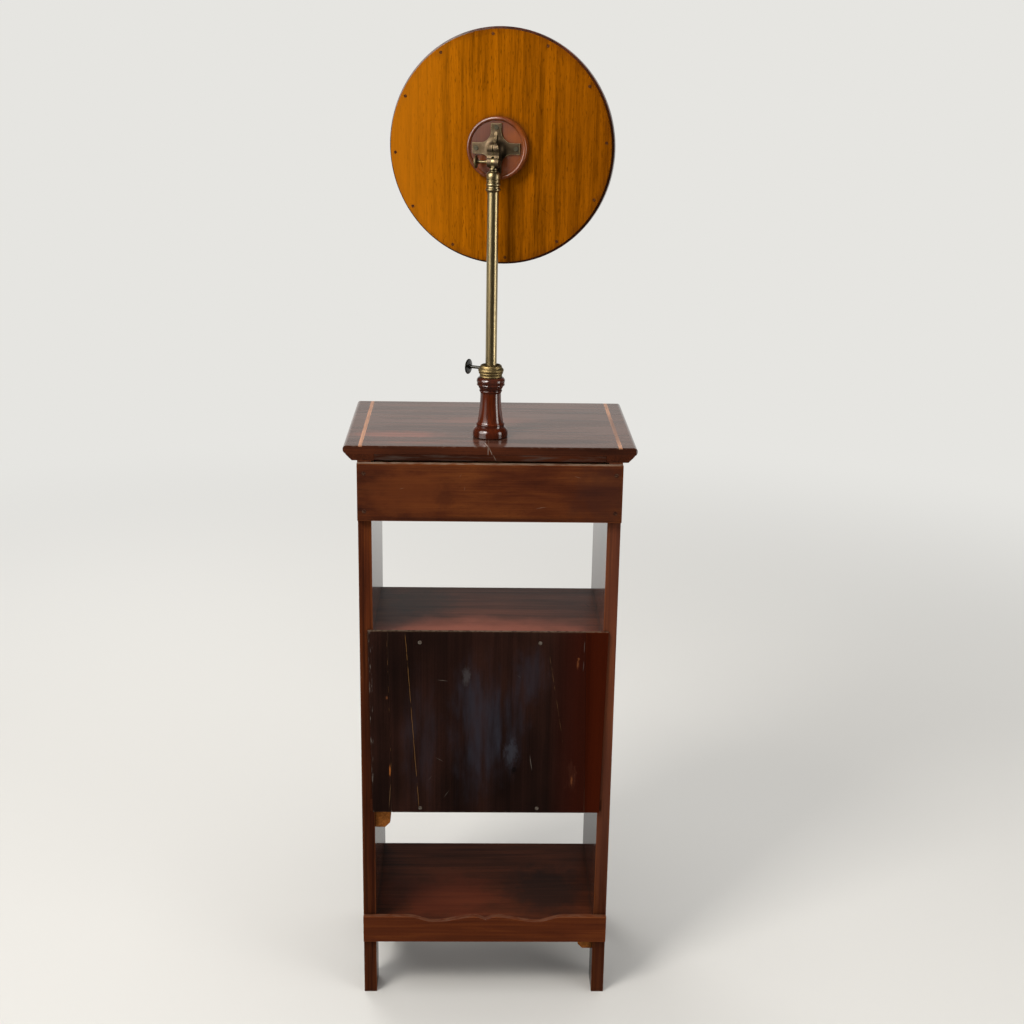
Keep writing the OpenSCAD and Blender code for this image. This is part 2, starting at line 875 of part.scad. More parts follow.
// Half outline of a turned knob with a backplate, head radius r, standing out by h
function knob_profile(r, h) = concat(
    [[0, -knob_shank_l], [knob_shank_r, -knob_shank_l], [knob_shank_r, 0], [r * 0.95, 0], [r * 0.95, 1],
        [r * 0.72, 2.4], [r * 0.5, 3]],
    [for (i = [0:6]) [r * (0.5 - 0.12 * sin(30 * i)), 3 + (h * 0.55 - 3) * i / 6]],
    arc(0, h - r * 0.42, r, -24, 24, 6),
    [[r * 0.7, h - r * 0.42 + r * 0.5], [r * 0.4, h - 0.4], [0, h]]);

module knob(x, z, r, h) {
    translate([x, y_front, z]) rotate([90, 0, 0]) rotate_extrude() polygon(knob_profile(r, h));
}

module drawer_knobs() {
    color(brass) for (s = [-1, 1]) knob(s * knob_x, knob_height, knob_r, knob_out);
}

// ---------------------------------------------------------------- door

y_groove = y_front + (door_t - panel_edge_t) / 2;
y_tenon = y_front + (door_t - tenon_t) / 2;

// The panel: bevelled all round towards the front, flat behind
module panel_solid() {
    x = door_half - door_frame_w + groove_d;
    low = door_low + door_frame_w - groove_d;
    high = door_high - door_frame_w + groove_d;
    y1 = y_groove + panel_edge_t;
    field = y1 - panel_t;
    b = panel_bevel;
    flat = groove_d + 1;
    intersection() {
        translate([0, 0, low]) linear_extrude(high - low)
            polygon([[-x, y1], [-x, y_groove], [-x + flat, y_groove], [-x + flat + b, field + 1.2],
                [-x + flat + b, field], [x - flat - b, field], [x - flat - b, field + 1.2],
                [x - flat, y_groove], [x, y_groove], [x, y1]]);
        along_x(-x, x)
            polygon([[y1, low], [y_groove, low], [y_groove, low + flat], [field + 1.2, low + flat + b],
                [field, low + flat + b], [field, high - flat - b], [field + 1.2, high - flat - b],
                [y_groove, high - flat], [y_groove, high], [y1, high]]);
    }
}

module door_panel() {
    color(mahogany) panel_solid();
}

module door_rail_solid(z0) {
    x = door_half - door_frame_w;
    block([-x, y_front, z0], [x, y_door_back, z0 + door_frame_w]);
    block([-x - tenon_l, y_tenon, z0 + 6], [x + tenon_l, y_tenon + tenon_t, z0 + door_frame_w - groove_d]);
}

// The groove that the panel sits in, cut into stiles and rails
module panel_groove() {
    x = door_half - door_frame_w + groove_d;
    block([-x, y_groove, door_low + door_frame_w - groove_d],
        [x, y_groove + panel_edge_t, door_high - door_frame_w + groove_d]);
}

module door_rail_top() {
    color(mahogany) difference() {
        door_rail_solid(door_high - door_frame_w);
        panel_groove();
    }
}

module door_rail_bottom() {
    color(mahogany) difference() {
        mirror_z(door_low + door_frame_w / 2) door_rail_solid(door_low);
        panel_groove();
    }
}

module mirror_z(z) {
    translate([0, 0, z]) mirror([0, 0, 1]) translate([0, 0, -z]) children();
}

module door_stile(s) {
    x0 = s > 0 ? door_half - door_frame_w : -door_half;
    difference() {
        block([x0, y_front, door_low], [x0 + door_frame_w, y_door_back, door_high]);
        panel_groove();
        door_rail_solid(door_high - door_frame_w);
        mirror_z(door_low + door_frame_w / 2) door_rail_solid(door_low);
    }
}

module door_stile_hinge() {
    color(mahogany) door_stile(-1);
}

module door_stile_knob() {
    color(mahogany) difference() {
        door_stile(1);
        translate([door_knob_x, y_front - 1, knob_z]) rotate([-90, 0, 0])
            cylinder(h = knob_shank_l + 1, r = knob_shank_r + fixed_clear);
        translate([door_half - catch_l, catch_y, catch_z]) rotate([0, 90, 0])
            cylinder(h = catch_l + 1, r = catch_r + fixed_clear);
    }
}

door_knob_x = door_half - door_frame_w / 2 - 4;

module door_knob() {
    color(brass) knob(door_knob_x, knob_z, knob_r, knob_out);
}

// A ball catch let into the edge of the door
module door_catch() {
    ball = catch_r - 1.2;
    color(brass) translate([door_half - catch_l, catch_y, catch_z]) rotate([0, 90, 0]) {
        cylinder(h = catch_l, r = catch_r);
        translate([0, 0, catch_l + catch_out - ball]) sphere(ball);
    }
}

// The plate's bed in the side board
module catch_plate_solid() {
    w = catch_plate_w / 2;
    h = catch_plate_h / 2;
    block([inner, catch_y - w, catch_z - h], [inner + leaf_t, catch_y + w, catch_z + h]);
}

module catch_plate() {
    color(brass) difference() {
        catch_plate_solid();
        translate([inner - 1, catch_y, catch_z]) rotate([0, 90, 0]) cylinder(h = leaf_t + 2, r = catch_r / 2);
    }
}

// The knuckles of one leaf: the even or the odd ones
module hinge_knuckles(odd, z) {
    low = z - hinge_l / 2;
    for (i = [odd:2:knuckles - 1])
        translate([hinge_x, hinge_y, low + i * (knuckle_h + knuckle_gap)])
            cylinder(h = knuckle_h, r = knuckle_r);
}

// The leaf's plate in the gap, cut away beside the other leaf's knuckles
module hinge_leaf(x0, odd, z) {
    low = z - hinge_l / 2;
    difference() {
        union() {
            block([x0, y_front, low], [x0 + leaf_t, y_front + leaf_w, low + hinge_l]);
            for (i = [odd:2:knuckles - 1])
                block([x0, hinge_y, low + i * (knuckle_h + knuckle_gap)],
                    [x0 + leaf_t, y_front, low + i * (knuckle_h + knuckle_gap) + knuckle_h]);
            hinge_knuckles(odd, z);
        }
        translate([hinge_x, hinge_y, low - 1]) cylinder(h = hinge_l + 2, r = hinge_pin_r + fit_clear);
    }
}

module side_hinge_leaves() {
    color(brass) for (z = hinge_z) hinge_leaf(-inner, 0, z);
}

module door_hinge_leaves() {
    color(brass) for (z = hinge_z) hinge_leaf(-inner + door_gap - leaf_t, 1, z);
}

module hinge_pins() {
    color(brass) for (z = hinge_z) translate([hinge_x, hinge_y, z - hinge_l / 2]) {
        cylinder(h = hinge_l, r = hinge_pin_r);
        translate([0, 0, hinge_l]) cylinder(h = 1, r = knuckle_r - 0.4);
    }
}

// ---------------------------------------------------------------- pillar and collar

// Half outline of the turned pillar: base, bead, swept shaft, ring and crown
function pillar_profile() = let (bead_z = base_face_h + base_round + 2 * bead_r,
        shaft_z = bead_z + 2 * bead_r, crown_z = pillar_h - crown_h,
        shaft_r = pillar_base_r - base_round * 0.7, crown_bead_z = pillar_h - 2 * crown_round)
    concat(
        [[0, -top_t], [spigot_r, -top_t], [spigot_r, 0], [pillar_base_r - bead_r / 2, 0],
            [pillar_base_r, bead_r]],
        arc(pillar_base_r - base_round, base_face_h, base_round, 6, 62, 8),
        arc(pillar_base_r - base_round * 0.65, bead_z, bead_r, -60, 80, 6),
        [for (i = [0:14]) let (t = i / 14)
            [pillar_neck_r + (shaft_r - pillar_neck_r) * pow(1 - t, 2.1),
                shaft_z + t * (crown_z - 3 * bead_r - shaft_z)]],
        arc(pillar_neck_r, crown_z - bead_r, bead_r, -60, 75, 6),
        [for (i = [0:5]) let (t = i / 5)
            [pillar_neck_r + bead_r / 2 + (pillar_bulb_r - 2 * bead_r - pillar_neck_r) * sin(90 * t),
                crown_z + bead_r / 3 + (crown_bead_z - crown_z - 1.2 * bead_r) * t]],
        arc(pillar_bulb_r - bead_r, crown_bead_z, bead_r * 0.85, -60, 70, 5),
        arc(pillar_bulb_r - crown_round, pillar_h - crown_round, crown_round, -32, 88, 9),
        [[0, pillar_h]]);

module pillar() {
    color(dark_mahogany) translate([0, y_pole, z_top]) difference() {
        rotate_extrude($fn = 96) polygon(pillar_profile());
        translate([0, 0, -top_t - 1]) cylinder(h = top_t + pillar_h + 2, r = socket_r + socket_clear);
        translate([0, 0, pillar_h - sleeve_l]) cylinder(h = sleeve_l + 1, r = sleeve_r + fixed_clear);
    }
}

// The block behind the drawer that carries on the pole's socket down to the dust board
module pole_well() {
    w = well_w / 2;
    color(oak) difference() {
        block([-w, y_pole - w, z_drawer], [w, y_pole + w, z_board]);
        translate([0, y_pole, z_drawer - 1])
            cylinder(h = z_board - z_drawer + 2, r = socket_r + socket_clear);
    }
}

// Half outline of the turned collar: a waist, a rounded flange and a dished top
function collar_profile() = concat(
    [[0, -sleeve_l], [sleeve_r, -sleeve_l], [sleeve_r, 0], [collar_r - 2.4, 0], [collar_r - 1.9, 1]],
    [[collar_r - 2.2, 2.4], [collar_r - 1.8, 4.2], [collar_r - 0.7, 5.2]],
    arc(collar_r - 3.4, collar_h / 2 + 1, 3.4, -45, 60, 8),
    [[collar_r - 2.2, collar_h - 3.6], [collar_r - 2.5, collar_h - 2], [collar_r - 3.1, collar_h - 0.5],
        [collar_r - 3.9, collar_h], [collar_r - 4.8, collar_h - 0.5], [collar_r - 5.6, collar_h - 1.6],
        [pole_r + 0.8, collar_h - 2.2], [0, collar_h - 2.2]]);

module collar_screw_frame() {
    translate([0, y_pole, z_collar_screw]) rotate([0, 0, collar_screw_turn]) rotate([0, 90, 0]) children();
}

module collar() {
    color(brass) difference() {
        translate([0, y_pole, z_pillar]) difference() {
            rotate_extrude($fn = 96) polygon(collar_profile());
            translate([0, 0, -sleeve_l - 1]) cylinder(h = sleeve_l + collar_h + 2, r = pole_r + fit_clear);
        }
        collar_screw_frame() cylinder(h = collar_r + 5, r = collar_screw_r + fit_clear);
    }
}

// A thumbscrew: stem from near the pole out to a thin turned disc
module thumbscrew(tip, disc_x, stem_r, disc_r) {
    rotate_extrude($fn = 96) polygon(concat(
        [[0, tip], [stem_r, tip], [stem_r, disc_x - 4], [stem_r + 0.9, disc_x - 3.2],
            [stem_r + 1.2, disc_x - 1.8], [disc_r - disc_edge, disc_x - disc_edge]],
        arc(disc_r - disc_edge, disc_x, disc_edge, -80, 80, 6),
        [[disc_r * 0.55, disc_x + 1.5], [stem_r + 1.4, disc_x + 2.2], [stem_r, disc_x + 3.4],
            [0, disc_x + 3.8]]));
}

module collar_screw() {
    color(dark_brass) collar_screw_frame()
        thumbscrew(pole_r + slide_gap, collar_disc_x, collar_screw_r, collar_disc_r);
}

// ---------------------------------------------------------------- pole

// The foot that closes the pole and steadies it in the socket
module pole_foot() {
    bore = pole_r - pole_wall;
    color(brass) translate([0, y_pole, pole_low - pole_foot_h]) {
        cylinder(h = pole_foot_h - slide_gap, r = socket_r);
        cylinder(h = pole_foot_h + foot_spigot_l, r = bore - fit_clear);
    }
}

module pole() {
    color(brass) at_pole() translate([0, 0, pole_low]) difference() {
        cylinder(h = z_ferrule - pole_low + ferrule_socket, r = pole_r);
        translate([0, 0, -1]) cylinder(h = z_ferrule - pole_low + ferrule_socket + 2, r = pole_r - pole_wall);
    }
}

// Half outline of the ferrule: a lower ring, a cushion, a grooved band and a domed shoulder
function ferrule_profile() = let (r = ferrule_r, h = ferrule_h, band = h - 11) concat(
    [[pole_r, 0], [pole_r + 0.7, 0], [pole_r + 0.9, 0.8]],
    arc(r - 1.8, 3.2, 1.8, -60, 65, 6),
    [[r - 1.3, 5.3], [r - 1.3, 6]],
    arc(r - 3.4, 9.4, 3, -52, 52, 8),
    [[r - 1.6, band - 3.4], [r - 1.1, band - 2.9], [r - 1.1, band - 0.6], [r - 1.6, band - 0.1],
        [r - 1.6, band + 0.5], [r - 0.9, band + 1], [r - 0.7, band + 4]],
    [for (i = [1:6]) [neck_r + (r - 0.7 - neck_r) * cos(15 * i), band + 4 + (h - band - 5) * sin(15 * i)]],
    [[neck_r, h], [0, h], [0, ferrule_socket + slide_gap], [pole_r, ferrule_socket + slide_gap]]);

module ferrule() {
    color(brass) at_pole() translate([0, 0, z_ferrule])
        rotate_extrude($fn = 96) polygon(ferrule_profile());
}

// Bore of the tilt joint, across the tongue and the cheeks
module tilt_bore() {
    translate([-fork_w, 0, z_tilt]) rotate([0, 90, 0]) cylinder(h = 2 * fork_w, r = tilt_screw_r + fit_clear);
}

// The tongue on its turned neck, which stands between the bracket's cheeks
module tongue() {
    ball = tilt_up - fork_r;
    color(brass) at_pole() difference() {
        union() {
            translate([0, 0, z_neck]) rotate_extrude()
                polygon(concat([[0, 0]], [[neck_r - 0.6, 0]], arc(neck_r - 2, ball / 2, 2, -60, 60, 6),
                    [[tongue_t / 2, ball], [0, ball]]));
            along_x(-tongue_t / 2, tongue_t / 2) translate([0, z_tilt]) {
                circle(fork_r - 0.5);
                translate([-neck_r + 0.8, -fork_r - ball / 2]) square([2 * neck_r - 1.6, fork_r + ball / 2]);
            }
        }
        tilt_bore();
    }
}

module tilt_screw() {
    color(brass) at_pole() translate([0, 0, z_tilt]) rotate([0, 90, 0])
        thumbscrew(-fork_w / 2 - 1, tilt_disc_x, tilt_screw_r, tilt_disc_r);
}

// ---------------------------------------------------------------- mirror

// The cross-shaped plate, drawn in X and Z about its middle
module cross_outline() {
    arm = arm_w / 2;
    hollow = arm + arm_fillet;
    square([2 * arm_l, arm_w], center = true);
    square([arm_w, 2 * arm_l], center = true);
    difference() {
        square(2 * hollow, center = true);
        for (sx = [-1, 1], sz = [-1, 1]) translate([sx * hollow, sz * hollow]) circle(arm_fillet);
    }
}

// The four places of the bracket's screws
module at_screws() {
    for (a = [0:90:270]) translate([0, 0, z_bracket]) rotate([0, a, 0]) translate([arm_l - screw_in, 0, 0])
        children();
}

// The swelling from which the cheeks rise: a turned, hollow-sided cone
module boss() {
    tip = fork_w / 2 - 0.5;
    turned_back(-plate_y, z_bracket) mirror([0, 1])
        polygon(concat([[0, -0.5], [boss_r, -0.5]],
            [for (i = [0:10]) [boss_r - (boss_r - tip) * sin(9 * i), boss_h * (1 - cos(9 * i))]],
            [[0, boss_h]]));
}

// The cheeks in Y and Z: a round end about the tilt axis, a waist and a rounded upper end
module cheek_outline() {
    foot = -plate_y - 0.5;
    top = bracket_up + cheek_rise;
    lobe_y = -lobe_r / 5;
    circle(fork_r);
    translate([lobe_y, top - lobe_r]) circle(lobe_r);
    polygon([[foot, -fork_r / 2], [-fork_r / 2, -fork_r * 0.86], [fork_r * 0.8, 0],
        [fork_r * 0.45, (bracket_up + cheek_rise - 2 * lobe_r + fork_r) / 2],
        [lobe_y + lobe_r * 0.8, top - lobe_r], [lobe_y, top - 0.5], [foot, top + 2]]);
}

// Both cheeks as one block: rounded at the top also when seen from behind
module cheek_block() {
    half = fork_w / 2;
    round_z = bracket_up + cheek_rise - half;
    translate([0, 0, z_tilt]) intersection() {
        along_x(-half, half) cheek_outline();
        along_y(-plate_y - 0.5, 2 * fork_r) {
            translate([0, round_z]) circle(half);
            translate([-half, -2 * fork_r]) square([2 * half, round_z + 2 * fork_r]);
        }
    }
}

// The ridge that runs from the cheeks up the upper arm, in Y and Z
module ridge_outline() {
    foot = -plate_y - 0.5;
    top = bracket_up + cheek_rise;
    polygon([[foot, bracket_up], [-lobe_r / 2, bracket_up], [-lobe_r / 2, top - 1],
        [-plate_y * 0.62, top + (ridge_reach - cheek_rise) * 0.3],
        [-plate_y * 0.86, top + (ridge_reach - cheek_rise) * 0.66], [-plate_y, bracket_up + ridge_reach],
        [foot, bracket_up + ridge_reach]]);
}

// The bracket: cross-shaped plate, swelling, ridge and the two cheeks of the tilt joint
module mirror_bracket() {
    color(brass) at_pole() difference() {
        union() {
            along_y(-plate_y - plate_t, -plate_y) translate([0, z_bracket]) cross_outline();
            boss();
            cheek_block();
            along_x(-ridge_w / 2, ridge_w / 2) translate([0, z_tilt]) ridge_outline();
        }
        block([-seam_w / 2, plate_t - plate_y, z_tilt], [seam_w / 2, 2 * fork_r, z_bracket + cheek_rise + 1]);
        block([-cheek_x, -plate_y, z_tilt - 2 * fork_r], [cheek_x, 2 * fork_r, z_tilt + fork_r + slide_gap]);
        tilt_bore();
        at_screws() rotate([90, 0, 0]) translate([0, 0, plate_y - 20])
            cylinder(h = plate_t + 21, r = screw_r + fixed_clear);
    }
}

// The slot across a screw's head
module screw_slot() {
    w = screw_head_r / 7;
    deep = screw_head_h / 2;
    block([-screw_head_r - 1, deep - plate_y, -w], [screw_head_r + 1, screw_head_h + 1 - plate_y, w]);
}

module bracket_screws() {
    color(dark_brass) at_pole() at_screws() difference() {
        rotate([90, 0, 0]) {
            translate([0, 0, plate_y - screw_head_h]) cylinder(h = screw_head_h, r = screw_head_r);
            translate([0, 0, plate_y]) cylinder(h = plate_t + roundel_t - screw_left, r = screw_r);
        }
        screw_slot();
    }
}

// The turned roundel: a flat face inside a raised, rounded rim
module roundel() {
    r = roundel_rim / 2;
    color(mahogany) at_pole() difference() {
        turned_back(y_back, z_bracket) mirror([0, 1]) {
            square([roundel_r - r, roundel_t]);
            translate([roundel_r - 1.2, 0]) square([1.2, roundel_t - 2]);
            translate([roundel_r - 2 * r, 0]) square([2 * r - 1, roundel_t]);
            translate([roundel_r - r, roundel_t - 0.8]) circle(r);
        }
        at_screws() rotate([90, 0, 0]) translate([0, 0, plate_y])
            cylinder(h = plate_t + roundel_t - screw_left + fixed_clear, r = screw_r + fixed_clear);
    }
}

module mirror_back() {
    color(golden_mahogany) at_pole() difference() {
        turned_back(y_frame, z_bracket) mirror([0, 1]) square([mirror_back_r, mirror_back_t]);
        mirror_nail_set(fixed_clear);
    }
}

// Nails round the back board, seen from behind as small dark heads
module mirror_nail_set(clear) {
    for (i = [0:back_nails - 1]) translate([0, y_back, z_bracket])
        rotate([0, i * 360 / back_nails + back_nail_start, 0])
            translate([mirror_back_r - back_nail_in, 0, 0]) rotate([90, 0, 0]) {
                cylinder(h = mirror_back_t + back_nail_deep + clear, r = back_nail_r + clear);
                if (clear == 0) translate([0, 0, -back_nail_out])
                    cylinder(h = back_nail_out, r = back_nail_head_r);
            }
}

module mirror_back_nails() {
    color(dark_brass) at_pole() mirror_nail_set(0);
}

// Section of the frame: a square back and a rounded front, with a rebate for the glass
module frame_section() {
    r = frame_w / 2;
    difference() {
        union() {
            translate([sight_r, -r]) square([frame_w, r]);
            translate([sight_r + r, -r]) circle(r);
        }
        translate([sight_r - 1, -glass_edge_t]) square([rebate_w + 1, glass_edge_t + 1]);
    }
}

module mirror_frame() {
    color(dark_mahogany) at_pole() difference() {
        turned_back(y_frame, z_bracket) mirror([0, 1]) frame_section();
        mirror_nail_set(fixed_clear);
    }
}

// The glass, with a bevel round its front
module mirror_glass() {
    r = sight_r + rebate_w - 0.3;
    flat = sight_r - glass_bevel;
    edge = sight_r - 0.2;
    color(silvered) at_pole() turned_back(y_frame, z_bracket) mirror([0, 1])
        polygon([[0, 0], [r, 0], [r, -glass_edge_t], [edge, -glass_edge_t], [flat, -glass_t], [0, -glass_t]]);
}

// ---------------------------------------------------------------- nodes

side_left();
side_right();
top_board();
top_strings();
top_moulding_front();
top_moulding_left();
top_moulding_right();
top_rear_strip();
top_front_rail();
dust_board();
frieze_back_rail();
back_rail_nails();
cupboard_top();
cupboard_bottom();
lower_shelf();
back_board_narrow();
back_board_wide();
back_plank();
back_board_nails();
rear_gallery();
glue_block_upper();
glue_block_lower();
drawer_stops();
catch_plate();
side_hinge_leaves();
hinge_pins();
pillar();
pole_well();
collar();
drawer_front();
drawer_side_left();
drawer_side_right();
drawer_back();
drawer_bottom();
drawer_knobs();
door_stile_hinge();
door_stile_knob();
door_rail_top();
door_rail_bottom();
door_panel();
door_hinge_leaves();
door_knob();
door_catch();
collar_screw();
pole_foot();
pole();
ferrule();
tongue();
tilt_screw();
mirror_bracket();
bracket_screws();
roundel();
mirror_back();
mirror_back_nails();
mirror_frame();
mirror_glass();
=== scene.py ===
"""Dresses the shaving stand: wood, polish, brass, glass and wear, a plain stage and the camera.

Everything is in metres, in the frame of the stand itself: +Z up, the drawer and door towards -Y.
Patterns and marks on the pieces are placed and sized in millimetres of the same frame.
"""

from math import cos, radians, sin

import bmesh
import bpy
from bpy.props import FloatProperty, FloatVectorProperty, PointerProperty
from mathutils import Matrix, Vector


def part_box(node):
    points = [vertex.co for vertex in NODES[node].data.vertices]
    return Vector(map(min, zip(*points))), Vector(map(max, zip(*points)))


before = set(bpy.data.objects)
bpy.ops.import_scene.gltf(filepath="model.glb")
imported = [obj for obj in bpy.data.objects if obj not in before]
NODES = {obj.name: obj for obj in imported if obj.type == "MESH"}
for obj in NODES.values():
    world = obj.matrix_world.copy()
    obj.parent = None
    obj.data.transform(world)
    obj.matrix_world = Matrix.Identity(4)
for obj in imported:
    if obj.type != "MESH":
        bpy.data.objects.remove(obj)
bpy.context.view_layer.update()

bl_info = {
    "name": "Shaving stand",
    "version": (1, 0, 0),
    "blender": (4, 5, 0),
    "location": "View3D > Sidebar > Shaving stand",
    "description": "Finishes for a mahogany shaving stand with a round mirror on a brass pole",
    "category": "Object",
}

MM = 0.001


def linear(code):
    """Turns a six-digit sRGB hex colour into the linear colour that a shader takes."""
    parts = [int(code[i:i + 2], 16) / 255 for i in (1, 3, 5)]
    return tuple(c / 12.92 if c <= 0.04045 else ((c + 0.055) / 1.055) ** 2.4 for c in parts)


def colour(name, code, description):
    """A colour that a user can change."""
    return FloatVectorProperty(name=name, description=description, subtype="COLOR", size=3,
                               min=0, max=1, default=linear(code))


def number(name, default, description, **limits):
    """A number that a user can change."""
    return FloatProperty(name=name, description=description, default=default, **limits)


class StandFinishes(bpy.types.PropertyGroup):
    """Colours of the stand's woods and metals."""

    mahogany: colour("Mahogany", "#4F2410", "Polished mahogany of the sides, rails and door")
    mahogany_light: colour("Mahogany, light streaks", "#6E3A19", "Lighter figure in the mahogany")
    mahogany_dark: colour("Mahogany, dark streaks", "#2A1009", "Darker figure in the mahogany")
    top_wood: colour("Top", "#46200F", "Dark polished wood of the top and the shelves")
    mirror_wood: colour("Mirror back", "#955303", "Golden mahogany of the board behind the mirror")
    stained_wood: colour("Back boards", "#21110C", "Dark stain on the cupboard's back boards")
    satinwood: colour("Satinwood", "#C98C66", "Inlaid strings")
    raw_wood: colour("Raw wood", "#BE7436", "Glue blocks")
    lining_wood: colour("Lining wood", "#A9855A", "Drawer linings and the boards inside")
    brass: colour("Brass", "#A39169", "Aged brass of the pole and the bracket")
    tarnish: colour("Tarnish", "#5B4E33", "Tarnish in the hollows of the brass")
    iron: colour("Iron", "#857D72", "Nails")
    glass: colour("Mirror", "#E8ECEB", "Silvered glass")


class StandSizes(bpy.types.PropertyGroup):
    """Sizes of wear and of surface detail."""

    arris: number("Worn arris", 0.7 * MM, "Radius of the worn edges", min=0, max=2 * MM, unit="LENGTH")
    wear: number("Wear band", 1.6 * MM, "Width of the rubbed edges", min=0, max=10 * MM, unit="LENGTH")
    # Reach of the painted shade in corners, which also stands for the soiling that gathers there.
    shade_and_soiling_reach: number("Grime reach", 9 * MM, "Reach of the dirt in corners", min=0, max=40 * MM, unit="LENGTH")


class StandStage(bpy.types.PropertyGroup):
    """The camera, the lamps and the floor."""

    camera_place: FloatVectorProperty(name="Camera", description="Place of the camera", size=3,
                                      subtype="TRANSLATION", unit="LENGTH", default=(0.0211, 2.0607, 1.3283))
    camera_yaw: number("Yaw", radians(1.501), "Turn of the camera from straight at the back", subtype="ANGLE")
    camera_pitch: number("Pitch", radians(17.005), "How far the camera looks down", subtype="ANGLE")
    camera_roll: number("Roll", radians(-0.94), "Roll of the camera", subtype="ANGLE")
    camera_lens: number("Lens", 53.5, "Focal length on a 36 mm sensor", min=10, max=200, unit="CAMERA")
    key_power: number("Key light", 62, "The high light on the +X side of the back", min=0, unit="POWER")
    fill_power: number("Fill light", 14, "The light on the -X side of the back", min=0, unit="POWER")
    gleam: number("Gleam", 52, "Power behind the panels that only show in the polish", min=0, unit="POWER")
    front_power: number("Front light", 26, "The light on the front side", min=0, unit="POWER")
    top_power: number("Overhead light", 22, "The light overhead", min=0, unit="POWER")
    ambient: number("Ambient", 0.45, "Strength of the even light from all round", min=0, max=2)
    backdrop: colour("Backdrop", "#E6E5E1", "Pale background")
    floor: colour("Floor", "#DAD8D3", "Plain pale floor")


# -------- shader building

MIX_RESULT = {"RGBA": "Result_Color", "FLOAT": "Result_Float"}
GRAIN_TURN = {"X": (0, radians(90), 0), "Y": (radians(90), 0, 0), "Z": (0, 0, 0)}

# How far one seed moves a pattern through the noise, in millimetres, for boards and for their marks.
BOARD_STEPS = (173, 59, 311)
MARK_STEPS = (97, 41, 73)

# Patterns that every wood here shares: millimetres across the grain, then along it.
RIBBON = (9, 900)
CLOUDS = (75, 160)
RAGGED_EDGE = (6, 22)
FILM_WAVES = (34, 70)

STREAK_SHARE = 0.4          # how much of the figure is fine streaks
PORE_RANGE = (0.6, 0.72)    # only the peaks of the noise are pores
BAND_REACH = 2.2            # widest rubbed band, in widths of the named one
# The next depth is how dark the painted shade, with the soiling, gets in wooden corners.
SHADE_AND_SOILING_DEPTH = 0.6           # how dark the dirt in wooden corners gets
GRAIN_DEPTH = 0.25 * MM     # relief of the grain
FILM_DEPTH = 0.4 * MM       # waves in the polish
LINE_FADE = 8               # millimetres over which the ends of a scratch fade

# Rounding of the boards: gaps that are closed, and the turns that count as flat and as an arris.
JOIN_GAP = 0.01 * MM
FLAT_TURN = radians(1)
ARRIS_TURN = radians(30)


def result(node):
    """The output that a link from this node takes."""
    wanted = MIX_RESULT[node.data_type] if node.type == "MIX" else None
    return next(s for s in node.outputs if wanted in (None, s.identifier))


def add(tree, kind, inputs=(), stops=(), **settings):
    """Adds a shader node with its settings, and fills its inputs, which are given by name or in order.

    An input takes a value, or a link from another node or from one of its outputs. In order, a MapRange
    takes its value, where that starts and ends, and what these two become.
    """
    node = tree.nodes.new("ShaderNode" + kind)
    for name, value in settings.items():
        setattr(node, name, value)
    for key, value in inputs.items() if isinstance(inputs, dict) else enumerate(inputs):
        if isinstance(key, int):
            socket = node.inputs[key]
        else:
            socket = next(s for s in node.inputs if key in (s.identifier, s.name))
        if isinstance(value, bpy.types.Node):
            tree.links.new(result(value), socket)
        elif isinstance(value, bpy.types.NodeSocket):
            tree.links.new(value, socket)
        else:
            socket.default_value = value
    if stops:
        ramp = node.color_ramp
        while len(ramp.elements) < len(stops):
            ramp.elements.new(0.5)
        for element, (place, tone) in zip(ramp.elements, stops):
            element.position = place
            element.color = (*tone, 1)
    return node


def new_material(name):
    """An empty node material and its tree."""
    material = bpy.data.materials.new(name)
    material.use_nodes = True
    material.node_tree.nodes.clear()
    return material, material.node_tree


def shade(tone, amount):
    """A colour made lighter or darker by a factor."""
    return tuple(min(1.0, c * amount) for c in tone[:3])


def figured(body, dark, light):
    """Dark, body and light tone of a wood, from its body colour."""
    return shade(body, dark), body, shade(body, light)


def in_millimetres(tree):
    """The place on the piece in millimetres."""
    place = add(tree, "TexCoord").outputs["Object"]
    return add(tree, "VectorMath", {0: place, "Scale": 1 / MM}, operation="SCALE")


def shifted(tree, place, seed, steps=MARK_STEPS):
    """The same place in another part of the noise."""
    return add(tree, "VectorMath", (place, [seed * step for step in steps]), operation="ADD")


def in_grain(tree, grain, seed):
    """The place in millimetres, turned so that the grain runs along Z."""
    place = add(tree, "TexCoord").outputs["Object"]
    turned = add(tree, "Mapping", {"Vector": place, "Rotation": GRAIN_TURN[grain], "Scale": (1 / MM,) * 3})
    return shifted(tree, turned, seed, BOARD_STEPS)


def stretched(tree, place, across, along, detail=3.0, distortion=0.0, roughness=0.55):
    """Noise whose features are so many millimetres wide and long."""
    squeezed = add(tree, "VectorMath", (place, (1 / across, 1 / across, 1 / along)), operation="MULTIPLY")
    return add(tree, "TexNoise", {"Vector": squeezed, "Scale": 1.0, "Detail": detail,
                                  "Roughness": roughness, "Distortion": distortion})


def noise_along(tree, along, step, start, detail):
    """Noise that changes along a line."""
    place = add(tree, "Math", (along, step, start), operation="MULTIPLY_ADD")
    return add(tree, "TexNoise", {"W": place, "Scale": 1.0, "Detail": detail}, noise_dimensions="1D")


def times(tree, *masks):
    """Product of masks or numbers."""
    total = masks[0]
    for mask in masks[1:]:
        total = add(tree, "Math", (total, mask), operation="MULTIPLY")
    return total


def stain(tree, tone, mask, over, share=1.0):
    """Lays a colour, given in hex or linear, over another where a mask says so."""
    over = linear(over) if isinstance(over, str) else over
    mask = mask if share == 1 else times(tree, mask, share)
    return add(tree, "Mix", {"Factor_Float": mask, "A_Color": tone, "B_Color": (*over[:3], 1)},
               data_type="RGBA")


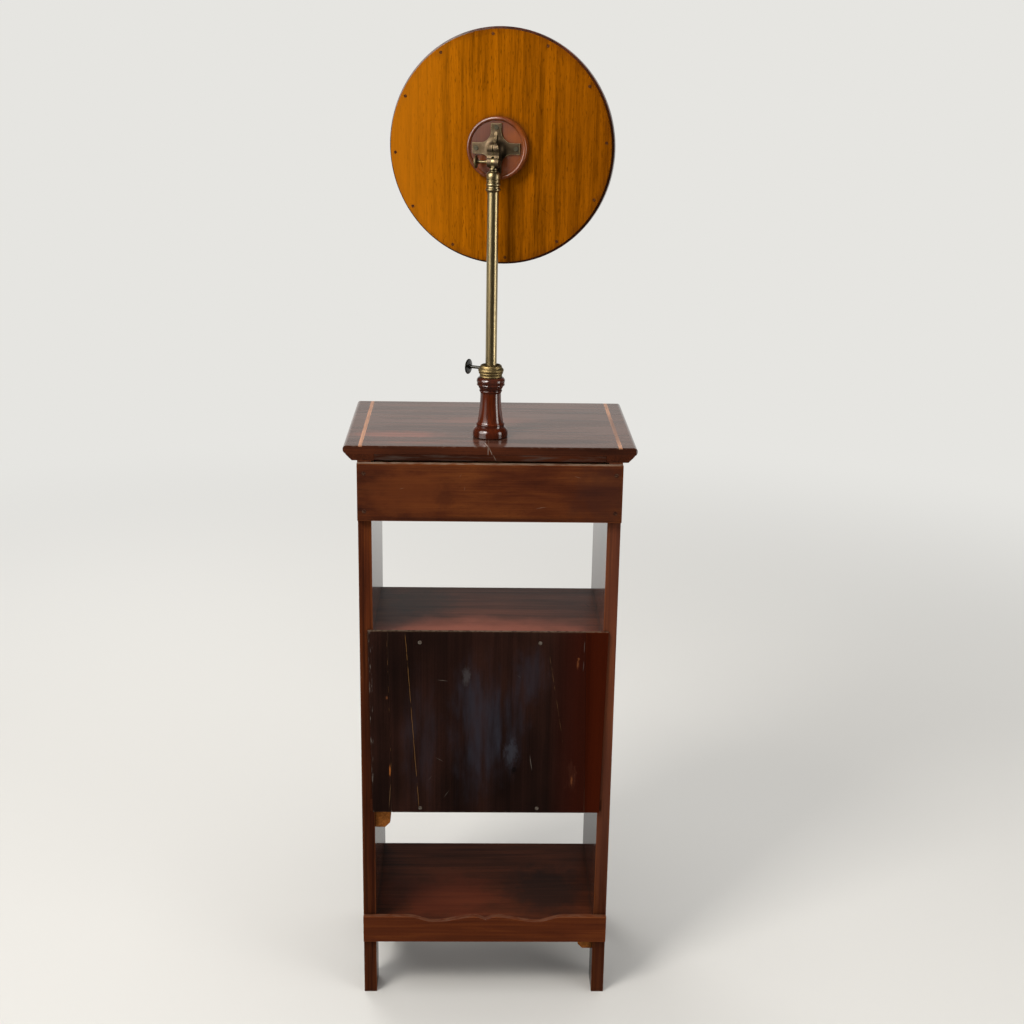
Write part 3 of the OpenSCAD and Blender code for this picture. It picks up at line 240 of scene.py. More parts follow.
def edge_distance(tree, node_name):
    """Distance in millimetres from the nearest edge of a squared board."""
    low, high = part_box(node_name)
    centre, half = (low + high) / 2, (high - low) / 2
    place = add(tree, "TexCoord").outputs["Object"]
    away = add(tree, "VectorMath", (place, centre), operation="SUBTRACT")
    beside = add(tree, "VectorMath", (away,), operation="ABSOLUTE")
    inside = add(tree, "VectorMath", (half, beside), operation="SUBTRACT")
    x, y, z = add(tree, "SeparateXYZ", (inside,)).outputs
    # An edge is where two faces meet, so what counts is the middle one of the three distances.
    lower = add(tree, "Math", (x, y), operation="MINIMUM")
    upper = add(tree, "Math", (x, y), operation="MAXIMUM")
    capped = add(tree, "Math", (upper, z), operation="MINIMUM")
    return times(tree, add(tree, "Math", (lower, capped), operation="MAXIMUM"), 1 / MM)


def shade_and_soiling(tree, tone, reach, depth, shade_and_soiling_tone=(0.012, 0.008, 0.006)):
    """Darkens a colour where other surfaces are close: painted shade, together with the old wax and soiling
    that gather there.
    """
    open_sky = add(tree, "AmbientOcclusion", {"Distance": reach}, samples=6)
    shade_and_soiling_mask = add(tree, "MapRange", (open_sky.outputs["AO"], 0.35, 0.85, depth, 0.0))
    return stain(tree, tone, shade_and_soiling_mask, shade_and_soiling_tone)


def patchy(tree, place, across, along, low, high, seed=0.0):
    """Mask of irregular streaks or patches, so many millimetres wide and long."""
    noise = stretched(tree, shifted(tree, place, seed), across, along)
    return add(tree, "MapRange", (noise, low, high), interpolation_type="SMOOTHSTEP")


def line_mark(tree, place, start, end, width, wobble=0.0, seed=0.0, whole=1.0):
    """Mask of a thin crack or scratch between two points, given in millimetres as X and Z.

    Below 1, whole is the share of its length that still shows.
    """
    x, y, z = add(tree, "SeparateXYZ", (place,)).outputs
    steep = abs(end[1] - start[1]) >= abs(end[0] - start[0])
    along, across = (z, x) if steep else (x, z)
    (b0, a0), (b1, a1) = (start, end) if steep else (start[::-1], end[::-1])
    slope, middle, half = (b1 - b0) / (a1 - a0), (a0 + a1) / 2, abs(a1 - a0) / 2
    ideal = add(tree, "Math", (along, slope, b0 - a0 * slope), operation="MULTIPLY_ADD")
    away = add(tree, "Math", (across, ideal), operation="SUBTRACT")
    if wobble:
        sway = noise_along(tree, along, 0.06, seed, 4.0)
        shift = add(tree, "Math", (sway, 2 * wobble, -wobble), operation="MULTIPLY_ADD")
        away = add(tree, "Math", (away, shift), operation="ADD")
    off = add(tree, "Math", (away,), operation="ABSOLUTE")
    near = add(tree, "MapRange", (off, width, width * 0.4))
    beyond = add(tree, "Math", (along, middle), operation="SUBTRACT")
    past = add(tree, "Math", (beyond,), operation="ABSOLUTE")
    inside = add(tree, "MapRange", (past, half, half - LINE_FADE))
    if whole < 1:
        gaps = noise_along(tree, along, 0.045, seed + 40, 5.0)
        edge = 0.72 - 0.4 * whole
        inside = times(tree, inside, add(tree, "MapRange", (gaps, edge, edge + 0.14)))
    return times(tree, near, inside)


def spot_mark(tree, place, centre, size, ragged=0.5, seed=0.0):
    """Mask of a soft patch, given by its centre and its half size in millimetres."""
    away = add(tree, "VectorMath", (place, centre), operation="SUBTRACT")
    scaled = add(tree, "VectorMath", (away, [1 / v for v in size]), operation="MULTIPLY")
    reach = add(tree, "VectorMath", (scaled,), operation="LENGTH").outputs["Value"]
    rough = stretched(tree, shifted(tree, place, seed), size[0] * 0.3, size[2] * 0.3, detail=4)
    edge = add(tree, "Math", (rough, ragged * 2, -ragged), operation="MULTIPLY_ADD")
    total = add(tree, "Math", (reach, edge), operation="ADD")
    return add(tree, "MapRange", (total, 1.0, 0.3), interpolation_type="SMOOTHSTEP")


def spots(tree, tone, place, rows):
    """Lays soft patches over a colour. A row: centre, half size, raggedness, seed, colour, share."""
    for centre, size, ragged, seed, code, share in rows:
        tone = stain(tree, tone, spot_mark(tree, place, centre, size, ragged, seed), code, share)
    return tone


def scratches(tree, tone, place, ends, width, wobble, seed, code, share):
    """Lays fine scratches over a colour, each between two points, with seeds that count up."""
    for number, (start, end) in enumerate(ends, start=seed):
        tone = stain(tree, tone, line_mark(tree, place, start, end, width, wobble, number), code, share)
    return tone


def finish_off(tree, shader, node_names, material):
    """Closes a material and gives it to its CAD pieces."""
    add(tree, "OutputMaterial", {"Surface": shader})
    for name in node_names:
        materials = NODES[name].data.materials
        materials.clear()
        materials.append(material)


def dress_in_wood(node_names, finish, tones, grain, seed, figure=(26, 420), streak=(1.8, 120), stripes=0.0,
                  pores=0.4, blotch=0.25, roughness=(0.34, 0.52), polish=0.0, haze=0.09,
                  gloss=0.04, ripple=0.3, wear=0.0, worn=None, bump=0.12, dust=0.0, dusty="#9A8A76",
                  contrast=1.0, flecks=(0.45, 7), matt_edges=False, marks=None):
    """Solid wood. Tones run from the dark to the light figure, and sizes are in millimetres.

    The figure gives broad bands, the streaks the fine lines of the grain, and the pores the short
    dark flecks of an open-pored wood. Polish is a clear film over it, which gives the sharp gleam, and
    haze is how much that gleam is blurred. Wear is the rubbed band along the first board's edges, and
    dust lies on faces that look up; on the rail it also paints the pale reflection along its top.
    Edges towards the front or the back can be left without polish.
    """
    sizes = bpy.context.scene.stand_sizes
    material, tree = new_material(finish)
    place = in_grain(tree, grain, seed)
    lines = stretched(tree, place, *streak)
    layers = [(STREAK_SHARE, lines), (blotch, stretched(tree, place, *CLOUDS, detail=2))]
    if stripes:
        layers.insert(1, (stripes, stretched(tree, place, *RIBBON, detail=2, distortion=0.2)))
    mixed = stretched(tree, place, *figure, detail=4, distortion=0.7)
    for share, layer in layers:
        mixed = add(tree, "Mix", {"Factor_Float": share, "A_Float": mixed, "B_Float": layer},
                    data_type="FLOAT")
    dark, body, light = tones
    tone = add(tree, "ValToRGB", (mixed,), stops=[
        (0.5 - 0.14 / contrast, dark), (0.49, body), (0.5 + 0.13 / contrast, light)])
    pore = add(tree, "MapRange", (stretched(tree, place, *flecks, detail=1), *PORE_RANGE))
    tone = stain(tree, tone, pore, shade(dark, 0.45), pores)
    if marks:
        tone = marks(tree, tone, in_millimetres(tree))
    if wear:
        reach = times(tree, stretched(tree, place, *RAGGED_EDGE), BAND_REACH * sizes.wear / MM)
        rubbed = add(tree, "MapRange", (edge_distance(tree, node_names[0]), 0.0, reach, wear, 0.0))
        tone = stain(tree, tone, rubbed, worn or shade(light, 1.4))
    # Painted shade where other surfaces are close, with the soiling that gathers there.
    tone = shade_and_soiling(tree, tone, sizes.shade_and_soiling_reach, SHADE_AND_SOILING_DEPTH)
    if dust or matt_edges:
        normal = add(tree, "SeparateXYZ", (add(tree, "NewGeometry").outputs["Normal"],))
    if dust:
        facing = add(tree, "MapRange", (normal.outputs["Z"], 0.5, 0.9, 0.0, dust))
        tone = stain(tree, tone, times(tree, facing, patchy(tree, place, 5, 14, 0.3, 0.62, seed=7)), dusty)
    if matt_edges:
        level = add(tree, "Math", (normal.outputs["Y"],), operation="ABSOLUTE")
        polish = add(tree, "MapRange", (level, 0.5, 0.9, polish, 0.05))
    sheen = add(tree, "MapRange", (mixed, 0.3, 0.7, *roughness[::-1]))
    relief = add(tree, "Math", (lines, pore), operation="SUBTRACT")
    carved = add(tree, "Bump", {"Height": relief, "Strength": bump, "Distance": GRAIN_DEPTH})
    waves = stretched(tree, place, *FILM_WAVES, detail=1)
    film = add(tree, "Bump", {"Height": waves, "Strength": ripple, "Distance": FILM_DEPTH})
    film = add(tree, "Bump", {"Height": relief, "Strength": bump * 0.25, "Distance": GRAIN_DEPTH,
                              "Normal": film})
    shader = add(tree, "BsdfPrincipled", {
        "Base Color": tone, "Roughness": sheen, "Normal": carved, "IOR": 1.5, "Coat Weight": polish,
        "Coat Roughness": haze, "Coat Normal": film, "Specular IOR Level": gloss})
    finish_off(tree, shader, node_names, material)


def dress_in_brass(node_names, finish, brass, tarnish, drawn=False, patina=0.5, mottle=0.25,
                   roughness=(0.22, 0.38), lacquer=0.5, rubbed=0.0, seed=1.0, marks=None):
    """Cast or drawn brass that has gone dull: rubbed places stay yellow and hollows turn dark olive, with
    painted shade laid in them.

    A drawn tube also has fine lines along it, which stretch its gleam into one long stripe. Old
    lacquer lays a pale, sharper gleam over it, and rubbed arrises show bright metal, which also paints
    the thin highlights along them.
    """
    material, tree = new_material(finish)
    place = in_grain(tree, "Z", seed)
    cloud = stretched(tree, place, 8, 60 if drawn else 8, roughness=0.5)
    specks = stretched(tree, place, 2.4, 6 if drawn else 2.4, detail=1)
    both = add(tree, "Mix", {"Factor_Float": 0.12, "A_Float": cloud, "B_Float": specks}, data_type="FLOAT")
    aged = add(tree, "MapRange", (both, 0.66, 0.34, patina - mottle, patina + mottle))
    tone = stain(tree, (*brass[:3], 1), aged, tarnish)
    if marks:
        tone = marks(tree, tone, in_millimetres(tree))
    # Painted shade in the hollows of the brass, in the colour of dark tarnish.
    tone = shade_and_soiling(tree, tone, 3.5 * MM, 0.85, shade_and_soiling_tone=shade(tarnish, 0.12))
    # Rubbed arrises: pale bright metal, which also paints the thin highlights along the edges.
    if rubbed:
        rounded = add(tree, "Bevel", {"Radius": 0.8 * MM}, samples=6)
        true = add(tree, "NewGeometry").outputs["Normal"]
        agree = add(tree, "VectorMath", (rounded, true), operation="DOT_PRODUCT").outputs["Value"]
        tone = stain(tree, tone, add(tree, "MapRange", (agree, 0.985, 0.86, 0.0, rubbed)), "#D9BE86")
    gloss = add(tree, "MapRange", (aged, 0.1, 0.9, *roughness))
    lines = stretched(tree, place, 0.35, 60, detail=1) if drawn else specks
    pitted = add(tree, "Bump", {"Height": lines, "Strength": 0.02, "Distance": 0.1 * MM})
    shader = add(tree, "BsdfPrincipled", {
        "Base Color": tone, "Metallic": 1.0, "Roughness": gloss, "Normal": pitted,
        "Coat Weight": lacquer, "Coat Roughness": 0.12})
    finish_off(tree, shader, node_names, material)


def dress_in_metal(node_names, finish, seed, speck, stops, metallic, roughness):
    """Plain metal with specks of rust or of lost silver, so many millimetres wide."""
    material, tree = new_material(finish)
    tone = add(tree, "ValToRGB", (stretched(tree, in_grain(tree, "Z", seed), *speck),), stops=stops)
    shader = add(tree, "BsdfPrincipled", {"Base Color": tone, "Metallic": metallic, "Roughness": roughness})
    finish_off(tree, shader, node_names, material)


# -------- helpers for the pieces

def soften(node_names, radius=None):
    """Rounds the arrises of squared boards, as years of handling do.

    The faces of a CAD piece come apart from each other, so they are joined first. Boards with small
    holes or a moulded edge are left as they are, because the holes leave no room for the rounding.
    """
    for name in node_names:
        modifiers = NODES[name].modifiers
        modifiers.new("Joined faces", "WELD").merge_threshold = JOIN_GAP
        flat = modifiers.new("Flat faces", "DECIMATE")
        flat.decimate_type = "DISSOLVE"
        flat.angle_limit = FLAT_TURN
        worn = modifiers.new("Worn arris", "BEVEL")
        worn.width = radius or bpy.context.scene.stand_sizes.arris
        worn.segments = 3
        worn.limit_method = "ANGLE"
        worn.angle_limit = ARRIS_TURN


def mahogany_tones():
    """Dark, body and light tone of the polished mahogany."""
    finishes = bpy.context.scene.stand_finishes
    return finishes.mahogany_dark[:], finishes.mahogany[:], finishes.mahogany_light[:]


def dark_tones(amount=1.0):
    """Dark, body and light tone of the top and the shelves."""
    body = bpy.context.scene.stand_finishes.top_wood[:]
    return shade(body, 0.42 * amount), shade(body, amount), shade(body, 1.9 * amount)


def flat_xy(tree, place):
    """The place on a level surface, turned so that its Y is read as Z."""
    x, y, z = add(tree, "SeparateXYZ", (place,)).outputs
    return add(tree, "CombineXYZ", {"X": x, "Z": y})


# -------- pieces

def side_marks(tree, tone, place):
    """A darker, streaky band along the side boards' rear edges, painted shade that darkens the boards towards
    the bottom, and a painted pale haze of reflection high on the -X board.
    """
    x, y, z = add(tree, "SeparateXYZ", (place,)).outputs
    rear = add(tree, "MapRange", (y, 124, 127.5))
    tone = stain(tree, tone, times(tree, rear, patchy(tree, place, 4.5, 190, 0.42, 0.66)), "#220D06", 0.6)
    # Painted shade: the boards get darker towards the bottom.
    tone = stain(tree, tone, add(tree, "MapRange", (z, 560, 300)), "#200A05", 0.55)
    # Painted reflection: a pale pinkish haze high on the -X board.
    return spots(tree, tone, place, [((-175, 128, 540), (60, 60, 560), 0.4, 11, "#84503F", 0.27)])


def top_marks(tree, tone, place):
    """The upper face paler and cloudy, with pinkish patches: painted reflections in its polish. A pale
    scratch runs from the pillar over the rear edge.
    """
    x, y, z = add(tree, "SeparateXYZ", (place,)).outputs
    # Painted reflection: the upper face is paler and greyer.
    upper = add(tree, "MapRange", (z, 825.2, 825.9))
    tone = stain(tree, tone, upper, "#5E4034", 0.8)
    rear_edge = add(tree, "MapRange", (y, 125, 131))
    tone = stain(tree, tone, rear_edge, "#26120B", 0.55)
    arris = add(tree, "MapRange", (z, 823.5, 825.5))
    scuffs = times(tree, rear_edge, arris, patchy(tree, place, 7, 7, 0.5, 0.66, seed=9))
    tone = stain(tree, tone, scuffs, "#8A7B6C", 0.6)
    # Painted reflection: pinkish patches on the upper face.
    tone = spots(tree, tone, place, [
        ((128, 64, 826), (84, 26, 60), 0.6, 1, "#96503A", 0.5),
        ((90, 104, 826), (90, 12, 60), 0.6, 4, "#8C4E3A", 0.5),
        ((10, -20, 826), (110, 26, 60), 0.6, 2, "#7C4A38", 0.5)])
    lengthwise = add(tree, "CombineXYZ", {"X": y, "Z": x})
    streaks = patchy(tree, lengthwise, 11, 150, 0.4, 0.66, seed=5)
    tone = stain(tree, tone, times(tree, upper, streaks), "#33190F", 0.62)
    tone = spots(tree, tone, place, [((-80, 96, 826), (120, 16, 60), 0.5, 3, "#2E150D", 0.6)])
    tone = scratches(tree, tone, flat_xy(tree, place), [((8, 105), (2.5, 131))], 0.5, 0.6, 3, "#CFC6B8", 0.85)
    return scratches(tree, tone, place, [((3, 827), (-3.5, 812))], 0.45, 0.3, 4, "#B8AC9C", 0.8)


def strip_marks(tree, tone, place):
    """Grey scuffs on the strip under the top, and the end of the scratch that crosses it."""
    tone = stain(tree, tone, patchy(tree, place, 30, 3, 0.45, 0.7, seed=3), "#4A3D36", 0.7)
    return scratches(tree, tone, place, [((-3, 816), (-9, 804))], 0.5, 0, 4, "#A09484", 0.75)


def string_marks(tree, tone, place):
    """The string at the -X end, darker with age."""
    return spots(tree, tone, place, [((-171, 30, 826), (60, 120, 60), 0.5, 8, "#6A4430", 0.75)])


def recess_marks(tree, tone, place):
    """Painted shade deep in the recess to one side, a painted red glow of light towards the back, and small
    scratches.
    """
    # Painted shade on the +X side deep in the recess, then a painted pool of reddish light towards the open
    # back.
    tone = spots(tree, tone, place, [
        ((95, -20, 555), (70, 80, 90), 0.5, 4, "#2C1D14", 0.6),
        ((20, 112, 555), (215, 84, 90), 0.5, 5, "#96503C", 0.8)])
    flat = flat_xy(tree, place)
    for start, end in (((-141, -18), (-147, 2)), ((-130, 28), (-136, 42)), ((-120, 50), (-131, 58))):
        tone = scratches(tree, tone, flat, [(start, end)], 0.9, 1.5, start[0], "#0E0705", 0.7)
    return tone


def shelf_marks(tree, tone, place):
    """A dark smoky patch to one side of the lower shelf, and a warmer middle."""
    return spots(tree, tone, place, [
        ((-90, 40, 116), (75, 90, 60), 0.6, 6, "#241510", 0.7),
        ((60, 60, 116), (110, 90, 60), 0.7, 7, "#6A2C17", 0.38)])


class SHAVINGSTAND_OT_carcass(bpy.types.Operator):
    """Sides, shelves and the boards inside"""

    bl_idname = "shavingstand.carcass"
    bl_label = "Carcass"

    def execute(self, context):
        # French-polished mahogany: a ribbon figure under a clear, sharp gleam, duller on the sawn edges.
        brighter = [shade(tone, 1.22) for tone in mahogany_tones()]
        for seed, name in enumerate(("side_left", "side_right"), start=2):
            dress_in_wood([name], "french_polished_mahogany_" + name, brighter, "Z", seed, stripes=0.2,
                polish=1.0, haze=0.12, wear=0.3, bump=0.05, matt_edges=True, marks=side_marks)
        # Polish worn thin by use: the wood shows its colour, with a soft gleam or hardly any.
        dress_in_wood(["cupboard_top"], "polished_recess_shelf", dark_tones(1.45), "X", 5, figure=(30, 400),
            polish=0.36, haze=0.25, wear=0.3, bump=0.05, marks=recess_marks)
        for seed, name in enumerate(("lower_shelf", "cupboard_bottom"), start=6):
            dress_in_wood([name], "polished_shelf_mahogany_" + name, dark_tones(0.95), "X", seed,
                figure=(22, 300), polish=0.07, haze=0.2, wear=0.35, bump=0.06, marks=shelf_marks)
        # Bare deal: pale, straight-grained and matt.
        dress_in_wood(["pole_well"], "bare_deal",
            figured(context.scene.stand_finishes.lining_wood[:], 0.5, 1.25), "X", 9, figure=(9, 500),
            pores=0.1, roughness=(0.6, 0.8))
        dress_in_wood(["top_front_rail", "dust_board"], "french_polished_mahogany_rail", mahogany_tones(),
            "X", 10, polish=0.8)
        soften(["lower_shelf", "dust_board", "top_front_rail"])
        return {"FINISHED"}


class SHAVINGSTAND_OT_top(bpy.types.Operator):
    """Top board, its mouldings and its inlaid strings"""

    bl_idname = "shavingstand.top"
    bl_label = "Top"

    def execute(self, context):
        # French-polished mahogany, the glossiest wood here: it mirrors the pillar's foot.
        dress_in_wood(["top_board"], "french_polished_top", dark_tones(), "X", 11, figure=(14, 200),
            streak=(1.5, 90), blotch=0.4, polish=0.88, haze=0.1, wear=0.12, bump=0.05, marks=top_marks)
        dress_in_wood(["top_moulding_front"], "moulding_mahogany_front", dark_tones(0.9), "X", 12, polish=0.6)
        dress_in_wood(["top_moulding_left", "top_moulding_right"], "moulding_mahogany_end", dark_tones(0.9),
            "Y", 13, polish=0.6)
        # Sawn mahogany without polish: dull and grey where it is scuffed.
        dress_in_wood(["top_rear_strip"], "rear_strip_mahogany", dark_tones(0.6), "X", 14, blotch=0.5,
            roughness=(0.5, 0.7), wear=0.3, marks=strip_marks)
        # Satinwood: pale and close-grained, so that its two thin lines stand out.
        inlay = context.scene.stand_finishes.satinwood[:]
        dress_in_wood(["top_strings"], "satinwood_stringing", (shade(inlay, 0.4), shade(inlay, 0.75), inlay),
            "Y", 15, figure=(4, 60), streak=(0.8, 25), pores=0.3, polish=0.7, marks=string_marks)
        soften(["top_rear_strip"])
        return {"FINISHED"}


def panel_marks(tree, tone, place):
    """Bluish bloom of old polish in brushed streaks, split joints, scuffs and a fresh gouge."""
    x, y, z = add(tree, "SeparateXYZ", (place,)).outputs
    bloom = patchy(tree, place, 13, 90, 0.32, 0.72, seed=2)
    for seed, (centre, size, share) in enumerate((
            ((12, 133, 425), (48, 60, 135), 0.62), ((-32, 133, 440), (30, 60, 110), 0.5),
            ((92, 133, 400), (34, 60, 120), 0.3), ((-62, 133, 505), (34, 60, 50), 0.4)), start=1):
        area = spot_mark(tree, place, centre, size, seed=seed)
        tone = stain(tree, tone, times(tree, area, bloom), "#30313A", share)
    tone = spots(tree, tone, place, [
        ((29, 133, 503), (7, 40, 19), 0.7, 8, "#4A4748", 0.55),
        ((-34, 133, 388), (12, 40, 26), 1.0, 9, "#44464E", 0.35),
        ((-38, 133, 361), (5, 40, 7), 0.9, 10, "#090505", 0.8)])
    # The plank on the -X side is redder.
    tone = stain(tree, tone, add(tree, "MapRange", (x, -84, -134)), "#3A1004", 0.8)
    tone = spots(tree, tone, place, [((-134, 133, 420), (13, 60, 400), 0.3, 12, "#2A0B03", 0.6)])
    # Split joints: start, end, half width, colour, share of the colour, share of the length.
    cracks = (
        ((113, 566), (94.6, 302), 0.4, "#8E6636", 0.65, 0.92),
        ((138, 562), (133, 350), 0.34, "#7C5A36", 0.6, 0.5),
        ((-84, 536), (-106, 400), 0.3, "#6E5434", 0.6, 0.7),
        ((134, 340), (137, 300), 0.4, "#7E6240", 0.6, 0.8),
        ((161, 560), (158, 470), 0.5, "#6E6A68", 0.6, 0.35),
        ((-131.5, 560), (-130.5, 500), 0.5, "#5A524C", 0.6, 0.6))
    for seed, (start, end, width, code, share, whole) in enumerate(cracks):
        tone = stain(tree, tone, line_mark(tree, place, start, end, width, 0.5, seed, whole), code, share)
    rim = add(tree, "MapRange", (x, 157, 160))
    tone = stain(tree, tone, times(tree, rim, patchy(tree, place, 3, 16, 0.55, 0.7, seed=13)), "#8D857C", 0.5)
    smudge = times(tree, spot_mark(tree, place, (-117, 133, 352), (10, 40, 30), 0.8, 14), bloom)
    tone = stain(tree, tone, smudge, "#6E4634", 0.4)
    tone = scratches(tree, tone, place, (
        ((70, 497), (54, 495)), ((72, 380), (60, 374)), ((-40, 505), (-46, 500)), ((60, 318), (52, 330)),
        ((-60, 385), (-63, 360)), ((82, 345), (76, 352))), 0.4, 0.8, 9, "#8D8478", 0.5)
    tone = spots(tree, tone, place, [((135, 133, 359), (1.5, 40, 11), 0.6, 5, "#A4602C", 0.9)])
    scuffs = enumerate(((-123, 521, 8), (-119, 346, 9), (-124, 529, 3), (138.5, 470, 3)), start=6)
    return spots(tree, tone, place, [((across, 133, height), (2, 40, tall), 1.0, seed, "#7E4A2A", 0.55)
                                     for seed, (across, height, tall) in scuffs])


def rail_marks(tree, tone, place):
    """Warm patches, a darker end, a dark lower edge and fine pale scratches on the frieze rail."""
    tone = spots(tree, tone, place, [
        ((110, 137, 765), (90, 60, 45), 0.8, 7, "#6E3818", 0.45),
        ((60, 137, 758), (20, 60, 25), 0.8, 8, "#3C1A0E", 0.35),
        ((-150, 137, 765), (60, 60, 60), 0.5, 9, "#3A2019", 0.5)])
    tone = scratches(tree, tone, place, (
        ((37, 792), (41, 786)), ((33, 775), (34, 768)), ((120, 770), (112, 772)), ((-60, 745), (-75, 747)),
        ((-110, 790), (-120, 787))), 0.35, 0.6, 20, "#9A8674", 0.6)
    return spots(tree, tone, place, [((10, 137, 727), (230, 60, 7), 0.4, 10, "#1C0B07", 0.6)])


class SHAVINGSTAND_OT_back(bpy.types.Operator):
    """Frieze rail, back boards, gallery, glue blocks and nails"""

    bl_idname = "shavingstand.back"
    bl_label = "Back"

    def execute(self, context):
        finishes = context.scene.stand_finishes
        tones = mahogany_tones()
        # Oiled mahogany: a cloudy figure with little shine, and pale dust along the top of the rail, which
        # also paints the pale reflection on that face.
        dress_in_wood(["frieze_back_rail"], "oiled_mahogany_rail", tones, "X", 21, figure=(15, 90),
            blotch=0.5, roughness=(0.4, 0.6), polish=0.1, haze=0.3, wear=0.35, dust=0.45, contrast=0.9,
            marks=rail_marks)
        dress_in_wood(["rear_gallery"], "polished_mahogany_gallery", [shade(tone, 1.25) for tone in tones],
            "X", 22, figure=(10, 160), polish=0.05, haze=0.2, wear=0.35, dust=0.3, dusty="#7A5A45",
            contrast=0.42)
        # Stained pine: nearly black, with dusty ledges and pale wood where it has split.
        stained = figured(finishes.stained_wood[:], 0.4, 2.0)
        for seed, name in enumerate(("back_board_narrow", "back_board_wide"), start=23):
            dress_in_wood([name], "dark_stained_pine_" + name, stained, "Z", seed, figure=(12, 500),
                streak=(1.2, 160), blotch=0.5, roughness=(0.4, 0.65), wear=0.3, worn=linear("#5A4434"),
                dust=0.75, dusty="#6E5C4A", marks=panel_marks)
        # Stained mahogany: the same dull face, with the red of the wood showing through.
        dress_in_wood(["back_plank"], "stained_mahogany_plank", figured(linear("#461A07"), 0.3, 1.5), "Z", 26,
            figure=(9, 420), roughness=(0.4, 0.6), gloss=0.02, wear=0.3, dust=0.6, dusty="#6E5C4A",
            marks=panel_marks)
        # Bare pine: orange with age, and quite matt.
        raw = finishes.raw_wood[:]
        dress_in_wood(["glue_block_upper", "glue_block_lower", "drawer_stops"], "bare_pine_block",
            (shade(raw, 0.3), shade(raw, 0.6), raw), "Y", 27, figure=(5, 90), pores=0.1,
            roughness=(0.65, 0.85))
        # Wrought iron: small grey heads that catch the light, with specks of rust.
        dress_in_metal(["back_board_nails"], "wrought_iron_nail", 28, (1.2, 1.2),
            [(0.4, finishes.iron[:]), (0.62, linear("#4A3020"))], 0.5, 0.4)
        # Nails set under wax stopping: dull dark dots.
        dress_in_wood(["back_rail_nails"], "stopped_nail_hole",
            [linear(code) for code in ("#1E0F09", "#3A2015", "#6E5442")], "X", 29, figure=(2, 4),
            streak=(1, 2), roughness=(0.5, 0.7))
        soften(["rear_gallery", "back_board_narrow", "back_plank", "glue_block_upper", "glue_block_lower",
                "drawer_stops"])
        return {"FINISHED"}


class SHAVINGSTAND_OT_drawer(bpy.types.Operator):
    """Drawer with its linings and knobs"""

    bl_idname = "shavingstand.drawer"
    bl_label = "Drawer"

    def execute(self, context):
        finishes = context.scene.stand_finishes
        # French-polished mahogany outside, bare oak inside: a gleam against pale, dry boards.
        dress_in_wood(["drawer_front"], "french_polished_drawer_front", mahogany_tones(), "X", 31,
            stripes=0.3, polish=0.9, wear=0.35)
        for part, grain, seed, names in (("side", "Y", 32, ("drawer_side_left", "drawer_side_right")),
                                         ("back", "X", 33, ("drawer_back", "drawer_bottom"))):
            dress_in_wood(names, "oak_lining_" + part, figured(finishes.lining_wood[:], 0.55, 1.25), grain,
                seed, figure=(6, 300), roughness=(0.5, 0.7))
            soften(names, 0.4 * MM)
        # Turned brass that hands keep bright: yellow, with a little tarnish in the grooves.
        dress_in_brass(["drawer_knobs", "door_knob"], "turned_brass_knob", finishes.brass[:],
            finishes.tarnish[:], patina=0.3, seed=34)
        return {"FINISHED"}


class SHAVINGSTAND_OT_door(bpy.types.Operator):
    """Door, its hinges and its catch"""

    bl_idname = "shavingstand.door"
    bl_label = "Door"

    def execute(self, context):
        finishes = context.scene.stand_finishes
        # French-polished mahogany: the frame plainer, the fielded panel with a broad ribbon figure.
        for seed, (name, grain, wear) in enumerate((
                ("door_stile_hinge", "Z", 0.3), ("door_stile_knob", "Z", 0.3),
                ("door_rail_top", "X", 0.0), ("door_rail_bottom", "X", 0.0)), start=41):
            dress_in_wood([name], "french_polished_" + name, mahogany_tones(), grain, seed, polish=0.9,
                wear=wear)
        dress_in_wood(["door_panel"], "french_polished_door_panel", mahogany_tones(), "Z", 45,
            figure=(34, 260), stripes=0.35, polish=0.9)
        # Rolled brass: flat and yellow under old lacquer.
        dress_in_brass(["door_hinge_leaves", "side_hinge_leaves", "hinge_pins", "door_catch", "catch_plate"],
            "rolled_brass_hinge", finishes.brass[:], finishes.tarnish[:], patina=0.4, seed=46)
        return {"FINISHED"}


def pillar_marks(tree, tone, place):
    """Darkens the rings of the pillar's head and the swell of its foot."""
    height = add(tree, "SeparateXYZ", (place,)).outputs["Z"]
    tone = stain(tree, tone, add(tree, "MapRange", (height, 883, 891)), "#30201D", 0.55)
    return stain(tree, tone, add(tree, "MapRange", (height, 850, 842)), "#2E1008", 0.5)


class SHAVINGSTAND_OT_pillar(bpy.types.Operator):
    """Turned pillar under the pole"""

    bl_idname = "shavingstand.pillar"
    bl_label = "Pillar"

    def execute(self, context):
        # Mahogany turned and polished on the lathe: deep red, smooth, with long highlights down it.
        dress_in_wood(["pillar"], "turned_polished_mahogany", figured(linear("#5B2209"), 0.45, 1.5), "Z", 51,
            figure=(9, 120), streak=(2.6, 60), polish=1.0, haze=0.15, gloss=0.0, ripple=0.0, bump=0.0,
            marks=pillar_marks)
        return {"FINISHED"}


